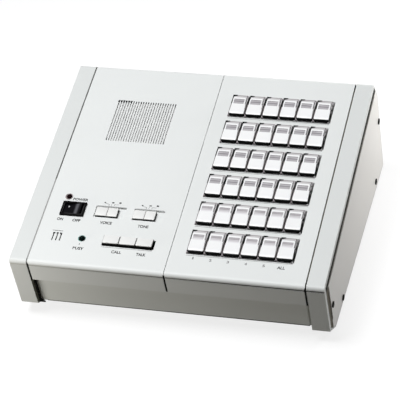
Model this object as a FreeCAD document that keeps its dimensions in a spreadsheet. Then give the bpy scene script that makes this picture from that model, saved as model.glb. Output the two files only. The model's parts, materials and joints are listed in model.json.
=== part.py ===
import FreeCAD, Part
import Sketcher
import math
import os
import re

from FreeCAD import Placement, Rotation, Vector

# Desk intercom. Row frame: +X right, +Y back, +Z up, origin under the middle of the feet.
# Most pieces are drawn in the slope frame: its origin is the sharp front edge of the top
# panel, x runs right, y up the sloping panel and z out of the panel, square to it.

SIZES = {
    # case profile, in the slope frame
    "case_width": 270.0,
    "panel_tilt": 9.5,
    "top_run": 228.8,
    "front_drop": 54.0,
    "front_lean": 1.8,
    "toe_run": 15.8,
    "toe_drop": 16.0,
    "sole_run": 213.4,
    "shoulder_run": 8.4,
    "shoulder_drop": 22.8,
    "bend_radius": 3.4,
    "swage_height": 1.6,
    "swage_depth": 0.7,
    # end cheeks and their side plates
    "cheek_width": 15.0,
    "cheek_wall": 1.5,
    "cheek_lip": 4.5,
    "lip_overlap": 0.3,
    "plate_sheet": 1.5,
    "plate_groove": 7.0,
    "plate_clearance": 0.1,
    "plate_post": 5.2,
    # side screws, with their four places on each plate
    "screw_shank": 3.0,
    "screw_hole": 3.2,
    "screw_reach": 1.3,
    "screw_head": 5.5,
    "screw_head_height": 1.2,
    "screw_front_run": 16.7,
    "screw_front_drop": 40.8,
    "screw_low_front_run": 47.2,
    "screw_low_front_rise": 4.65,
    "screw_low_rear_setback": 33.5,
    "screw_low_rear_rise": 8.7,
    "screw_rear_inset": 4.9,
    "screw_rear_drop": 48.6,
    # top panels
    "panel_sheet": 1.2,
    "panel_seam": 1.1,
    "middle_seam": 0.5,
    "flange_drop": 22.6,
    "flange_clearance": 1.0,
    "flange_end_gap": 0.6,
    "board_depth": 12.0,
    "ledge_width": 2.4,
    "ledge_sheet": 1.5,
    "ledge_margin": 9.0,
    "stud_width": 4.8,
    "stud_margin": 4.4,
    "stud_peg": 2.8,
    "stud_peg_hole": 3.0,
    "stud_peg_reach": 1.0,
    # base tray and feet
    "tray_sheet": 1.2,
    "tray_recess": 5.0,
    "tray_corner": 4.0,
    "tray_toe_start": 1.0,
    "tray_toe_run": 13.0,
    "tray_floor_gap": 1.5,
    "tray_top_drop": 16.0,
    "desk_gap": 1.5,
    "foot_width": 16.0,
    "foot_taper": 1.0,
    "foot_peg": 4.0,
    "foot_peg_hole": 4.1,
    "foot_peg_length": 3.0,
    "foot_side_inset": 20.0,
    "foot_front_inset": 50.0,
    "foot_rear_inset": 43.5,
    # cable outlet and rear terminals
    "outlet_margin": 6.0,
    "outlet_height": 16.0,
    "outlet_sill": 8.0,
    "terminal_end": 3.6,
    "terminal_depth": 16.0,
    "terminal_height": 12.0,
    "terminal_setback": 12.0,
    "terminal_pitch": 8.4,
    "terminal_count": 12,
    "terminal_hole": 4.2,
    "terminal_hole_depth": 9.0,
    "terminal_screw": 4.6,
    "terminal_screw_depth": 2.5,
    # station key grid
    "key_rows": 6,
    "key_columns": 6,
    "key_pitch": 15.16,
    "row_bar": 5.85,
    "grid_rear_shift": -0.275,
    "window_end_gap": 0.4,
    "window_margin": 0.45,
    # one station key
    "key_gap": 0.76,
    "key_length": 24.4,
    "key_side_slope": 0.7,
    "key_front_slope": 1.6,
    "key_rear_slope": 3.1,
    "key_proud": 3.1,
    "key_skirt": 2.0,
    "key_travel": 2.5,
    "label_width": 9.2,
    "label_length": 4.8,
    "label_rear_gap": 4.4,
    "label_thickness": 0.4,
    "lens_thickness": 0.9,
    "label_clearance": 0.1,
    "stem_width": 4.0,
    "stem_clearance": 0.05,
    "stem_length": 5.5,
    # push switches and their board
    "switch_width": 10.0,
    "switch_length": 14.0,
    "switch_clearance": 0.6,
    "stem_end_gap": 1.3,
    "board_sheet": 1.6,
    "station_board_side": 7.0,
    "station_board_end": 9.0,
    # control board; across the panel, its parts are placed from the left panel's middle
    "control_board_width": 104.0,
    "control_board_front": 11.0,
    "control_board_length": 76.0,
    # call and talk keys
    "bank_shift": -0.475,
    "bank_front": 24.4,
    "bank_key_count": 3,
    "bank_key_pitch": 14.6,
    "bank_key_width": 14.3,
    "bank_key_length": 8.9,
    "bank_key_inset": 0.8,
    "bank_key_side_gap": 1.3,
    "bank_key_front_gap": 0.5,
    "bank_key_rear_gap": 0.4,
    "bank_key_proud": 3.0,
    "bank_body_margin": 2.0,
    # slide switches
    "voice_shift": -15.875,
    "slide_spacing": 7.1,
    "slide_front": 54.4,
    "knob_width": 20.4,
    "knob_length": 10.2,
    "knob_inset": 0.8,
    "knob_end_gap": 0.7,
    "knob_front_gap": 0.4,
    "knob_rear_gap": 1.6,
    "knob_proud": 2.0,
    "knob_groove": 0.5,
    "knob_travel": 5.0,
    "shutter_overlap": 0.9,
    "shutter_sheet": 0.8,
    "shutter_clearance": 0.2,
    "slide_stem": 3.0,
    "slide_stem_clearance": 0.15,
    "slide_stem_length": 6.0,
    "slide_body_length": 11.0,
    "slide_body_height": 8.0,
    "slide_body_wall": 2.0,
    # power rocker
    "rocker_shift": -34.975,
    "rocker_run": 60.4,
    "bezel_lip": 0.9,
    "bezel_proud": 1.6,
    "housing_wall": 0.95,
    "housing_depth": 15.0,
    "housing_clearance": 0.2,
    "well_depth": 10.0,
    "rocker_width": 16.0,
    "rocker_length": 10.9,
    "rocker_clearance": 0.2,
    "rocker_swing_room": 0.65,
    "rocker_half_swing": 11.0,
    "rocker_crest": 3.2,
    "rocker_dip": 2.4,
    "rocker_waist": 1.0,
    "rocker_foot": 5.0,
    "rocker_foot_width": 6.0,
    "pivot_drop": 1.5,
    "pivot_pin": 2.0,
    "pivot_hole": 2.1,
    "pivot_pin_reach": 0.7,
    # lamps
    "power_lamp_shift": -42.675,
    "power_lamp_run": 74.0,
    "busy_lamp_shift": -18.975,
    "busy_lamp_run": 29.9,
    "lamp_lip": 0.6,
    "lamp_rim_proud": 0.8,
    "lamp_dome": 5.0,
    "lamp_dome_proud": 1.4,
    "lamp_body": 5.6,
    "lamp_clearance": 0.2,
    # speaker and its grille
    "grille_slot": 1.0,
    "grille_slot_length": 48.0,
    "grille_pitch": 2.27,
    "grille_slots": 24,
    "speaker_shift": -1.775,
    "speaker_setback": 63.6,
    "speaker_width": 77.0,
    "speaker_rim_width": 5.0,
    "speaker_sheet": 1.0,
    "speaker_depth": 22.0,
    "speaker_back_width": 34.0,
    "cone_width": 62.0,
    "cone_neck": 20.0,
    "cone_depth": 13.0,
    "cone_paper": 0.6,
    "magnet_width": 45.0,
    "magnet_height": 11.0,
    # microphone
    "microphone_shift": -41.275,
    "microphone_run": 29.6,
    "microphone_width": 9.7,
    "microphone_clearance": 0.3,
    "microphone_slot": 1.0,
    "microphone_slot_length": 8.4,
    "microphone_pitch": 3.35,
    "microphone_slots": 3,
    # transformer
    "core_width": 54.0,
    "core_depth": 22.0,
    "core_height": 45.0,
    "core_limb": 9.0,
    "coil_depth": 38.0,
    "coil_clearance": 0.2,
    "transformer_x": 52.0,
    "transformer_y": 52.0,
}

doc = FreeCAD.newDocument("desk_intercom")
sizes = doc.addObject("Spreadsheet::Sheet", "sizes")
for row, (alias, number) in enumerate(SIZES.items(), 1):
    sizes.set(f"A{row}", alias)
    sizes.set(f"B{row}", str(number))
    sizes.setAlias(f"B{row}", alias)
doc.recompute()


# ---------------------------------------------------------------- expressions

def formula(text):
    """Turn size names in a formula into references to the sheet."""
    return re.sub(r"[a-z_]+", lambda word: f"sizes.{word[0]}" if word[0] in SIZES else word[0], text)


def value(text):
    return float(sizes.evalExpression(formula(text)))


def bind(thing, path, text):
    thing.setExpression(path, formula(text))


# ---------------------------------------------------------------- placements

# The case profile stands on its sole, which the panel's tilt makes level.
SOLE_REAR_DROP = "(front_drop + toe_drop + sole_run * tan(panel_tilt))"
FRONT_REACH = "bend_radius * (cos(panel_tilt) + sin(panel_tilt) - 1)"
REAR_REACH = f"((toe_run + sole_run) * cos(panel_tilt) + {SOLE_REAR_DROP} * sin(panel_tilt))"
SLOPE_Y = f"(-({FRONT_REACH} + {REAR_REACH}) / 2)"
SLOPE_Z = ("(desk_gap + (front_drop + toe_drop) * cos(panel_tilt)"
           " - toe_run * sin(panel_tilt))")
FLOOR_Z = "(desk_gap + tray_floor_gap)"


def on_slope(thing, x="0", y="0", z="0"):
    """Place a piece whose own origin is at x, y, z of the slope frame."""
    thing.Placement = Placement(Vector(), Rotation(Vector(1, 0, 0), value("panel_tilt")))
    bind(thing, "Placement.Rotation.Angle", "panel_tilt")
    bind(thing, "Placement.Base.x", x)
    bind(thing, "Placement.Base.y", f"{SLOPE_Y} + ({y}) * cos(panel_tilt) - ({z}) * sin(panel_tilt)")
    bind(thing, "Placement.Base.z", f"{SLOPE_Z} + ({y}) * sin(panel_tilt) + ({z}) * cos(panel_tilt)")
    return thing


def at(thing, x="0", y="0", z="0"):
    """Place a piece without turning it."""
    for axis, text in zip("xyz", (x, y, z)):
        bind(thing, f"Placement.Base.{axis}", text)
    return thing


# ---------------------------------------------------------------- solids

def box(name, size_x, size_y, size_z, x, y, z):
    """A box with its low corner at x, y, z."""
    block = doc.addObject("Part::Box", name)
    for prop, text in zip(("Length", "Width", "Height"), (size_x, size_y, size_z)):
        bind(block, prop, text)
    return at(block, x, y, z)


def round_bar(name, diameter, length, x, y, z, axis=Vector(0, 0, 1)):
    """A cylinder that starts at x, y, z and runs along an axis."""
    bar = doc.addObject("Part::Cylinder", name)
    bind(bar, "Radius", f"({diameter}) / 2")
    bind(bar, "Height", length)
    bar.Placement = Placement(Vector(), Rotation(Vector(0, 0, 1), axis))
    return at(bar, x, y, z)


def taper_bar(name, low_diameter, high_diameter, length, x, y, z):
    bar = doc.addObject("Part::Cone", name)
    bind(bar, "Radius1", f"({low_diameter}) / 2")
    bind(bar, "Radius2", f"({high_diameter}) / 2")
    bind(bar, "Height", length)
    return at(bar, x, y, z)


def join(name, pieces):
    fused = doc.addObject("Part::MultiFuse", name)
    fused.Shapes = pieces
    return fused


def cut(name, base, *tools):
    for number, tool in enumerate(tools, 1):
        cutting = doc.addObject("Part::Cut", name if number == len(tools) else f"{name}_cut")
        cutting.Base = base
        cutting.Tool = tool
        base = cutting
    return base


def group(name, pieces):
    """Separate solids kept together in one node."""
    together = doc.addObject("Part::Compound", name)
    together.Links = pieces
    return together


# ---------------------------------------------------------------- sketches

def new_body(name):
    return doc.addObject("PartDesign::Body", name)


def sketch_on(body, name, role, offset="0"):
    plane = next(item for item in body.Origin.OriginFeatures if item.Role == role)
    sketch = body.newObject("Sketcher::SketchObject", name)
    sketch.AttachmentSupport = (plane, [""])
    sketch.MapMode = "FlatFace"
    bind(sketch, "AttachmentOffset.Base.z", offset)
    return sketch


def fix_point(sketch, geometry, point, x, y):
    for kind, text in (("DistanceX", x), ("DistanceY", y)):
        number = sketch.addConstraint(Sketcher.Constraint(kind, geometry, point, value(text)))
        bind(sketch, f"Constraints[{number}]", text)


def outline(sketch, corners):
    """A closed outline of straight lines, each corner held by two sizes."""
    places = [Vector(value(x), value(y), 0) for x, y in corners]
    first = sketch.GeometryCount
    count = len(corners)
    for number, place in enumerate(places):
        sketch.addGeometry(Part.LineSegment(place, places[(number + 1) % count]))
    for number, (x, y) in enumerate(corners):
        following = first + (number + 1) % count
        sketch.addConstraint(Sketcher.Constraint("Coincident", first + number, 2, following, 1))
        fix_point(sketch, first + number, 1, x, y)


def rectangle(sketch, x, y, width, length):
    right = f"({x}) + ({width})"
    back = f"({y}) + ({length})"
    outline(sketch, [(x, y), (right, y), (right, back), (x, back)])


def circle(sketch, x, y, diameter):
    centre = Vector(value(x), value(y), 0)
    number = sketch.addGeometry(Part.Circle(centre, Vector(0, 0, 1), value(diameter) / 2))
    fix_point(sketch, number, 3, x, y)
    size = sketch.addConstraint(Sketcher.Constraint("Diameter", number, value(diameter)))
    bind(sketch, f"Constraints[{size}]", diameter)


def pad(body, sketch, length, backwards=False):
    feature = body.newObject("PartDesign::Pad", f"{sketch.Name}_pad")
    feature.Profile = sketch
    feature.Reversed = backwards
    bind(feature, "Length", length)
    doc.recompute()
    return feature


def pocket(body, sketch, length, backwards=False):
    """Cut a sketch out of the body, and make sure that it removes something."""
    before = body.Shape.Volume
    feature = body.newObject("PartDesign::Pocket", f"{sketch.Name}_pocket")
    feature.Profile = sketch
    feature.Reversed = backwards
    bind(feature, "Length", length)
    doc.recompute()
    if not body.Shape.Volume < before:
        raise RuntimeError(f"{feature.Name} cuts nothing")
    return feature


def pattern(body, feature, sketch, axis, count, pitch):
    rows = body.newObject("PartDesign::LinearPattern", f"{feature.Name}_pattern")
    rows.Originals = [feature]
    rows.Direction = (sketch, [axis])
    bind(rows, "Occurrences", count)
    bind(rows, "Length", f"({pitch}) * ({count} - 1)")
    body.Tip = rows
    doc.recompute()
    return rows


def near(number, target):
    return abs(number - target) < 0.01


def round_edges(body, feature, radius, is_edge):
    """Round the edges whose two ends meet a test."""
    names = [f"Edge{number}" for number, edge in enumerate(feature.Shape.Edges, 1)
             if is_edge([vertex.Point for vertex in edge.Vertexes])]
    rounded = body.newObject("PartDesign::Fillet", f"{body.Name}_rounds")
    rounded.Base = (feature, names)
    bind(rounded, "Radius", radius)
    doc.recompute()
    return rounded


def bend(body, feature, corners):
    """Round the long edges that stand at the given corners of the profile."""
    places = [(value(y), value(z)) for y, z in corners]

    def is_corner(ends):
        return any(all(near(end.y, y) and near(end.z, z) for end in ends) for y, z in places)

    return round_edges(body, feature, "bend_radius", is_corner)


def hollow(body, feature, sheet, is_open):
    """Turn a solid into sheet of one thickness, without the faces that are open."""
    names = [f"Face{number}" for number, face in enumerate(feature.Shape.Faces, 1) if is_open(face)]
    shell = body.newObject("PartDesign::Thickness", f"{body.Name}_sheet")
    shell.Base = (feature, names)
    shell.Reversed = True
    shell.Join = 1
    bind(shell, "Value", sheet)
    doc.recompute()
    return shell


def faces_along(face, direction):
    """True for a flat face whose normal is along the direction."""
    if face.Surface.TypeId != "Part::GeomPlane":
        return False
    return face.normalAt(0, 0).getAngle(direction) < math.radians(1)


# ---------------------------------------------------------------- case profile

def front_run(drop):
    """Where the front face stands, a given drop below the top panel."""
    return f"(-front_lean * ({drop}) / front_drop)"


TOP_FRONT = ("0", "0")
TOP_REAR = ("top_run", "0")
SHOULDER = ("top_run + shoulder_run", "-shoulder_drop")
SOLE_REAR = ("toe_run + sole_run", f"-{SOLE_REAR_DROP}")
TOE_REAR = ("toe_run", "-(front_drop + toe_drop)")
TOE_FRONT = (front_run("front_drop"), "-front_drop")
CASE_OUTLINE = [TOP_FRONT, TOP_REAR, SHOULDER, SOLE_REAR, TOE_REAR, TOE_FRONT]
REAR_LEAN = f"((top_run + shoulder_run - toe_run - sole_run) / ({SOLE_REAR_DROP} - shoulder_drop))"


def sole_drop(run):
    """How far the sole lies below the top panel, a given run from the front."""
    return f"(front_drop + toe_drop + ({run} - toe_run) * tan(panel_tilt))"


def rear_run(drop):
    """How far back the rear face stands, a given drop below the top panel."""
    return f"(top_run + shoulder_run - ({drop} - shoulder_drop) * {REAR_LEAN})"


LOW_REAR_RUN = "(toe_run + sole_run - screw_low_rear_setback)"
SCREW_PLACES = [
    ("screw_front_run", "-screw_front_drop"),
    ("screw_low_front_run", f"screw_low_front_rise - {sole_drop('screw_low_front_run')}"),
    (LOW_REAR_RUN, f"screw_low_rear_rise - {sole_drop(LOW_REAR_RUN)}"),
    (f"{rear_run('screw_rear_drop')} - screw_rear_inset", "-screw_rear_drop"),
]
CHEEK_INNER = "(case_width / 2 - cheek_width)"
LEFT = Vector(-1, 0, 0)
RIGHT = Vector(1, 0, 0)


def press_swage(body, left_edge, width, backwards):
    """A shallow groove across the front, right under the bend."""
    groove = sketch_on(body, f"{body.Name}_swage", "YZ_Plane", left_edge)
    rectangle(groove, "-front_lean", "-(bend_radius + swage_height)", "front_lean + swage_depth",
              "swage_height")
    pocket(body, groove, width, backwards)


def case_sheet(name, inset, shift="0"):
    """A sheet in the left face, with the case outline less an inset, moved back and down."""
    profile = doc.addObject("Sketcher::SketchObject", f"{name}_profile")
    profile.Placement = Placement(Vector(), Rotation(Vector(1, 1, 1), 120))
    outline(profile, CASE_OUTLINE)
    smaller = doc.addObject("Part::Offset2D", f"{name}_inset")
    smaller.Source = profile
    smaller.Join = "Intersection"
    bind(smaller, "Value", f"-({inset})")
    sheet = doc.addObject("Part::Extrusion", name)
    sheet.Base = smaller
    sheet.DirMode = "Custom"
    sheet.Dir = LEFT
    sheet.Solid = True
    bind(sheet, "LengthFwd", "plate_sheet")
    return at(sheet, "plate_sheet - case_width / 2", shift, f"-({shift})")


def make_left_cheek():
    """A dish that opens outwards: a lip narrows its mouth, and a ledge carries the panel's edge."""
    body = new_body("cheek_shell")
    profile = sketch_on(body, "cheek_profile", "YZ_Plane", f"-{CHEEK_INNER}")
    outline(profile, CASE_OUTLINE)
    block = pad(body, profile, "cheek_width", backwards=True)
    block = bend(body, block, [TOP_FRONT, TOP_REAR])
    hollow(body, block, "cheek_wall", lambda face: faces_along(face, LEFT))
    press_swage(body, f"-{CHEEK_INNER}", "cheek_width", False)
    holes = sketch_on(body, "cheek_holes", "YZ_Plane", f"-{CHEEK_INNER}")
    for y, z in SCREW_PLACES:
        circle(holes, y, z, "screw_hole")
    pocket(body, holes, "cheek_wall")
    ledge = sketch_on(body, "cheek_ledge", "YZ_Plane", f"-{CHEEK_INNER}")
    rectangle(ledge, "ledge_margin", "-(panel_sheet + ledge_sheet)", "top_run - 2 * ledge_margin",
              "ledge_sheet")
    pad(body, ledge, "ledge_width")
    lip_inset = "(cheek_wall - lip_overlap)"
    lip = cut("lip", case_sheet("lip_blank", lip_inset),
              case_sheet("lip_opening", lip_inset, f"cheek_lip - {lip_inset}"))
    return on_slope(join("left_cheek", [body, lip]))


def make_left_side_plate():
    """The plate inside the cheek's lip, with a post behind each of its screws."""
    outer = "(case_width / 2)"
    inset = "(cheek_wall + plate_clearance)"
    plate = doc.addObject("Part::Common", "plate_outline")
    plate.Base = case_sheet("plate_blank", inset)
    plate.Tool = case_sheet("plate_groove_blank", inset, f"cheek_lip + plate_groove - {inset}")
    post_length = "cheek_width - cheek_wall - plate_sheet"
    posts = [round_bar(f"plate_post_{number}", "plate_post", post_length,
                       f"plate_sheet - {outer}", y, z, RIGHT)
             for number, (y, z) in enumerate(SCREW_PLACES, 1)]
    bores = [round_bar(f"plate_bore_{number}", "screw_hole", "cheek_width", f"-{outer}", y, z, RIGHT)
             for number, (y, z) in enumerate(SCREW_PLACES, 1)]
    body = cut("left_side_plate", join("plate_posts", [plate] + posts), join("plate_bores", bores))
    return on_slope(body)


def mirror(name, source):
    """The right-hand piece of a pair."""
    other = doc.addObject("Part::Mirroring", name)
    other.Source = source
    other.Base = Vector(0, 0, 0)
    other.Normal = RIGHT
    return other


def make_side_screws():
    """Eight pan-headed screws: plate, web and tray wall are pulled together by each."""
    length = "cheek_width + tray_sheet + screw_reach"
    shank = round_bar("screw_shank_bar", "screw_shank", length, "0", "0", "0", RIGHT)
    head = round_bar("screw_head_bar", "screw_head", "screw_head_height", "0", "0", "0", LEFT)
    screw = join("one_side_screw", [shank, head])
    left = []
    for number, (y, z) in enumerate(SCREW_PLACES, 1):
        left.append(at(group(f"left_screw_{number}", [screw]), "-case_width / 2", y, z))
    left_set = on_slope(group("left_screws", left))
    return group("side_screws", [left_set, mirror("right_screws", left_set)])


# ---------------------------------------------------------------- base tray and feet

TRAY_WIDTH = f"(2 * {CHEEK_INNER})"
TRAY_TOE_DROP = f"({sole_drop('(tray_recess + tray_toe_run)')} - tray_floor_gap / cos(panel_tilt))"
TRAY_REAR_RISE = f"(tray_floor_gap / (cos(panel_tilt) + {REAR_LEAN} * sin(panel_tilt)))"
TRAY_LOW_DROP = "(front_drop + tray_toe_start)"
TRAY_OUTLINE = [
    (f"tray_recess + {front_run('tray_top_drop')}", "-tray_top_drop"),
    SHOULDER,
    (f"toe_run + sole_run + {REAR_LEAN} * {TRAY_REAR_RISE}", f"{TRAY_REAR_RISE} - {SOLE_REAR_DROP}"),
    ("tray_recess + tray_toe_run", f"-{TRAY_TOE_DROP}"),
    (f"tray_recess + {front_run(TRAY_LOW_DROP)}", f"-{TRAY_LOW_DROP}"),
]
FOOT_X = f"({CHEEK_INNER} - foot_side_inset)"
FOOT_PLACES = [(x, y)
               for x in (f"-{FOOT_X}", FOOT_X)
               for y in (f"{SLOPE_Y} + foot_front_inset", f"{SLOPE_Y} + {REAR_REACH} - foot_rear_inset")]
TERMINAL_WIDTH = "(terminal_count * terminal_pitch + 2 * terminal_end)"
OUTLET_WIDTH = f"({TERMINAL_WIDTH} + 2 * outlet_margin)"


def make_base_tray():
    """An open box between the cheeks, with round front corners and a cable outlet at the rear."""
    body = new_body("tray_shell")
    profile = sketch_on(body, "tray_profile", "YZ_Plane", f"-{CHEEK_INNER}")
    outline(profile, TRAY_OUTLINE)
    block = pad(body, profile, TRAY_WIDTH)

    def is_front_corner(ends, side):
        behind = value("tray_recess + tray_toe_run + tray_sheet")
        in_side = near(ends[0].x, ends[1].x) and near(abs(ends[0].x), side)
        return in_side and all(end.y < behind for end in ends)

    def is_top(face):
        centre = face.CenterOfMass
        return abs(face.normalAt(0, 0).x) < 0.5 and centre.z > value("-shoulder_drop")

    shell = hollow(body, block, "tray_sheet", is_top)
    for side_x, radius in ((f"{CHEEK_INNER} - tray_sheet", "tray_corner - tray_sheet"),
                           (CHEEK_INNER, "tray_corner")):
        shell = round_edges(body, shell, radius, lambda ends: is_front_corner(ends, value(side_x)))
    holes = sketch_on(body, "tray_screw_holes", "YZ_Plane", f"-{CHEEK_INNER}")
    for y, z in SCREW_PLACES:
        circle(holes, y, z, "screw_hole")
    pocket(body, holes, TRAY_WIDTH, backwards=True)
    on_slope(body)
    doc.recompute()
    outlet = box("outlet_block", OUTLET_WIDTH, "3 * terminal_setback", "outlet_height",
                 f"-{OUTLET_WIDTH} / 2", f"{REAR_REACH} + {SLOPE_Y} - 2 * terminal_setback",
                 f"{FLOOR_Z} + outlet_sill")
    holes = [round_bar(f"foot_hole_{number}", "foot_peg_hole", "2 * tray_sheet", x, y,
                       f"{FLOOR_Z} - tray_sheet / 2")
             for number, (x, y) in enumerate(FOOT_PLACES, 1)]
    return cut("base_tray", body, outlet, join("foot_holes", holes))


def make_rubber_feet():
    """Four moulded feet with a peg each, pushed into the tray floor."""
    pad_height = FLOOR_Z
    foot = taper_bar("foot_pad", "foot_width - 2 * foot_taper", "foot_width", pad_height, "0", "0", "0")
    peg = round_bar("foot_peg_bar", "foot_peg", "foot_peg_length", "0", "0", pad_height)
    one_foot = join("one_foot", [foot, peg])
    feet = [at(group(f"foot_{number}", [one_foot]), x, y)
            for number, (x, y) in enumerate(FOOT_PLACES, 1)]
    return group("rubber_feet", feet)


# ---------------------------------------------------------------- top panels

PANEL_WIDTH = f"({CHEEK_INNER} - panel_seam - middle_seam / 2)"
LEFT_PANEL_X = f"(panel_seam - {CHEEK_INNER})"
RIGHT_PANEL_X = "(middle_seam / 2)"
SHOULDER_SPAN = "sqrt(shoulder_run ^ 2 + shoulder_drop ^ 2)"
SHOULDER_SHARE = f"(1 - flange_clearance / {SHOULDER_SPAN})"
PANEL_OUTLINE = [
    (front_run("flange_drop"), "-flange_drop"),
    TOP_FRONT,
    TOP_REAR,
    (f"top_run + shoulder_run * {SHOULDER_SHARE}", f"-shoulder_drop * {SHOULDER_SHARE}"),
]
STUD_REACH = "(board_depth - panel_sheet)"


def make_panel(name, left_edge, studs):
    """Sheet folded down over the front and the rear shoulder, its front fold cut back at both ends."""
    body = new_body(name)
    profile = sketch_on(body, f"{name}_profile", "YZ_Plane", left_edge)
    outline(profile, PANEL_OUTLINE)
    block = pad(body, profile, PANEL_WIDTH)
    block = bend(body, block, [TOP_FRONT, TOP_REAR])

    def is_open(face):
        if faces_along(face, LEFT) or faces_along(face, RIGHT):
            return True
        return face.CenterOfMass.z < -1 and face.normalAt(0, 0).z < -0.5

    hollow(body, block, "panel_sheet", is_open)
    press_swage(body, left_edge, PANEL_WIDTH, True)
    right_edge = f"{left_edge} + {PANEL_WIDTH}"
    for side, edge, inward in (("left", left_edge, True), ("right", right_edge, False)):
        end = sketch_on(body, f"{name}_{side}_fold_end", "YZ_Plane", edge)
        rectangle(end, "-2 * front_lean", "-(flange_drop + panel_sheet)", "2 * (front_lean + panel_sheet)",
                  "flange_drop + panel_sheet - bend_radius / 2")
        pocket(body, end, "flange_end_gap", inward)
    posts = sketch_on(body, f"{name}_studs", "XY_Plane", "-panel_sheet")
    for x, y in studs:
        circle(posts, x, y, "stud_width")
    pad(body, posts, STUD_REACH, backwards=True)
    pegs = sketch_on(body, f"{name}_pegs", "XY_Plane", "-board_depth")
    for x, y in studs:
        circle(pegs, x, y, "stud_peg")
    pad(body, pegs, "board_sheet + stud_peg_reach", backwards=True)
    return on_slope(body)


# The station keys' grid, centred across the right panel.
KEY_WIDTH = "(key_pitch - key_gap)"
WINDOW_LENGTH = "(key_length + 2 * window_end_gap)"
ROW_PITCH = f"({WINDOW_LENGTH} + row_bar)"
GRID_WIDTH = "(key_columns * key_pitch + 2 * window_margin)"
GRID_LENGTH = f"(key_rows * {ROW_PITCH} - row_bar)"
GRID_LEFT = f"({RIGHT_PANEL_X} + ({PANEL_WIDTH} - {GRID_WIDTH}) / 2)"
GRID_FRONT = f"((top_run - {GRID_LENGTH}) / 2 + grid_rear_shift)"
STATION_BOARD = (f"({GRID_LEFT} - station_board_side)", f"({GRID_FRONT} - station_board_end)",
                 f"({GRID_WIDTH} + 2 * station_board_side)", f"({GRID_LENGTH} + 2 * station_board_end)")

# The controls of the left panel, placed across from its middle.
LEFT_MIDDLE = f"({LEFT_PANEL_X} + {PANEL_WIDTH} / 2)"
CONTROL_BOARD = (f"({LEFT_MIDDLE} - control_board_width / 2)", "control_board_front",
                 "control_board_width", "control_board_length")
BANK_LEFT = f"({LEFT_MIDDLE} + bank_shift)"
BANK_WIDTH = ("(bank_key_inset + (bank_key_count - 1) * bank_key_pitch + bank_key_width"
              " + bank_key_side_gap)")
BANK_LENGTH = "(bank_key_front_gap + bank_key_length + bank_key_rear_gap)"
SLIDE_WIDTH = "(knob_inset + knob_width + knob_travel + knob_end_gap)"
SLIDE_LENGTH = "(knob_front_gap + knob_length + knob_rear_gap)"
VOICE_LEFT = f"({LEFT_MIDDLE} + voice_shift)"
TONE_LEFT = f"({VOICE_LEFT} + {SLIDE_WIDTH} + slide_spacing)"
ROCKER_X = f"({LEFT_MIDDLE} + rocker_shift)"
WELL_WIDTH = "(rocker_width + 2 * rocker_swing_room)"
WELL_LENGTH = "(rocker_length + 2 * rocker_clearance)"
HOUSING_WIDTH = f"({WELL_WIDTH} + 2 * housing_wall)"
HOUSING_LENGTH = f"({WELL_LENGTH} + 2 * housing_wall)"
LAMP_PLACES = {
    "power_lamp": (f"({LEFT_MIDDLE} + power_lamp_shift)", "power_lamp_run"),
    "busy_lamp": (f"({LEFT_MIDDLE} + busy_lamp_shift)", "busy_lamp_run"),
}
SPEAKER_X = f"({LEFT_MIDDLE} + speaker_shift)"
SPEAKER_Y = "(top_run - speaker_setback)"
GRILLE_WIDTH = "((grille_slots - 1) * grille_pitch + grille_slot)"
MICROPHONE_X = f"({LEFT_MIDDLE} + microphone_shift)"
MICROPHONE_SPAN = "((microphone_slots - 1) * microphone_pitch + microphone_slot)"


def stud_places(board, rows):
    """Places for studs along the two sides of a board."""
    left, front, width, length = board
    return [(x, f"{front} + stud_margin + {row} * ({length} - 2 * stud_margin) / {rows - 1}")
            for x in (f"{left} + stud_margin", f"{left} + {width} - stud_margin")
            for row in range(rows)]


STATION_STUDS = stud_places(STATION_BOARD, 3)
CONTROL_STUDS = stud_places(CONTROL_BOARD, 2)


def make_right_panel():
    """The panel with one window for each row of station keys."""
    body = make_panel("right_panel", RIGHT_PANEL_X, STATION_STUDS)
    window = sketch_on(body, "row_window", "XY_Plane")
    rectangle(window, GRID_LEFT, GRID_FRONT, GRID_WIDTH, WINDOW_LENGTH)
    opening = pocket(body, window, "2 * panel_sheet")
    pattern(body, opening, window, "V_Axis", "key_rows", ROW_PITCH)
    return body


def make_left_panel():
    """The panel with the grille, the microphone slots and the switch windows."""
    body = make_panel("left_panel", LEFT_PANEL_X, CONTROL_STUDS)
    windows = sketch_on(body, "switch_windows", "XY_Plane")
    rectangle(windows, BANK_LEFT, "bank_front", BANK_WIDTH, BANK_LENGTH)
    for left in (VOICE_LEFT, TONE_LEFT):
        rectangle(windows, left, "slide_front", SLIDE_WIDTH, SLIDE_LENGTH)
    rectangle(windows, f"{ROCKER_X} - {HOUSING_WIDTH} / 2 - housing_clearance",
              f"rocker_run - {HOUSING_LENGTH} / 2 - housing_clearance",
              f"{HOUSING_WIDTH} + 2 * housing_clearance", f"{HOUSING_LENGTH} + 2 * housing_clearance")
    for x, y in LAMP_PLACES.values():
        circle(windows, x, y, "lamp_body + 2 * lamp_clearance")
    pocket(body, windows, "2 * panel_sheet")
    slot = sketch_on(body, "grille_slot", "XY_Plane")
    rectangle(slot, f"{SPEAKER_X} - {GRILLE_WIDTH} / 2", f"{SPEAKER_Y} - grille_slot_length / 2",
              "grille_slot", "grille_slot_length")
    opening = pocket(body, slot, "2 * panel_sheet")
    pattern(body, opening, slot, "H_Axis", "grille_slots", "grille_pitch")
    slot = sketch_on(body, "microphone_slot", "XY_Plane")
    rectangle(slot, f"{MICROPHONE_X} - {MICROPHONE_SPAN} / 2", "microphone_run - microphone_slot_length / 2",
              "microphone_slot", "microphone_slot_length")
    opening = pocket(body, slot, "2 * panel_sheet")
    pattern(body, opening, slot, "H_Axis", "microphone_slots", "microphone_pitch")
    return body


# ---------------------------------------------------------------- station keys

KEY_LEFT = f"({GRID_LEFT} + window_margin + key_gap / 2)"
KEY_FRONT = f"({GRID_FRONT} + window_end_gap)"


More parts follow.
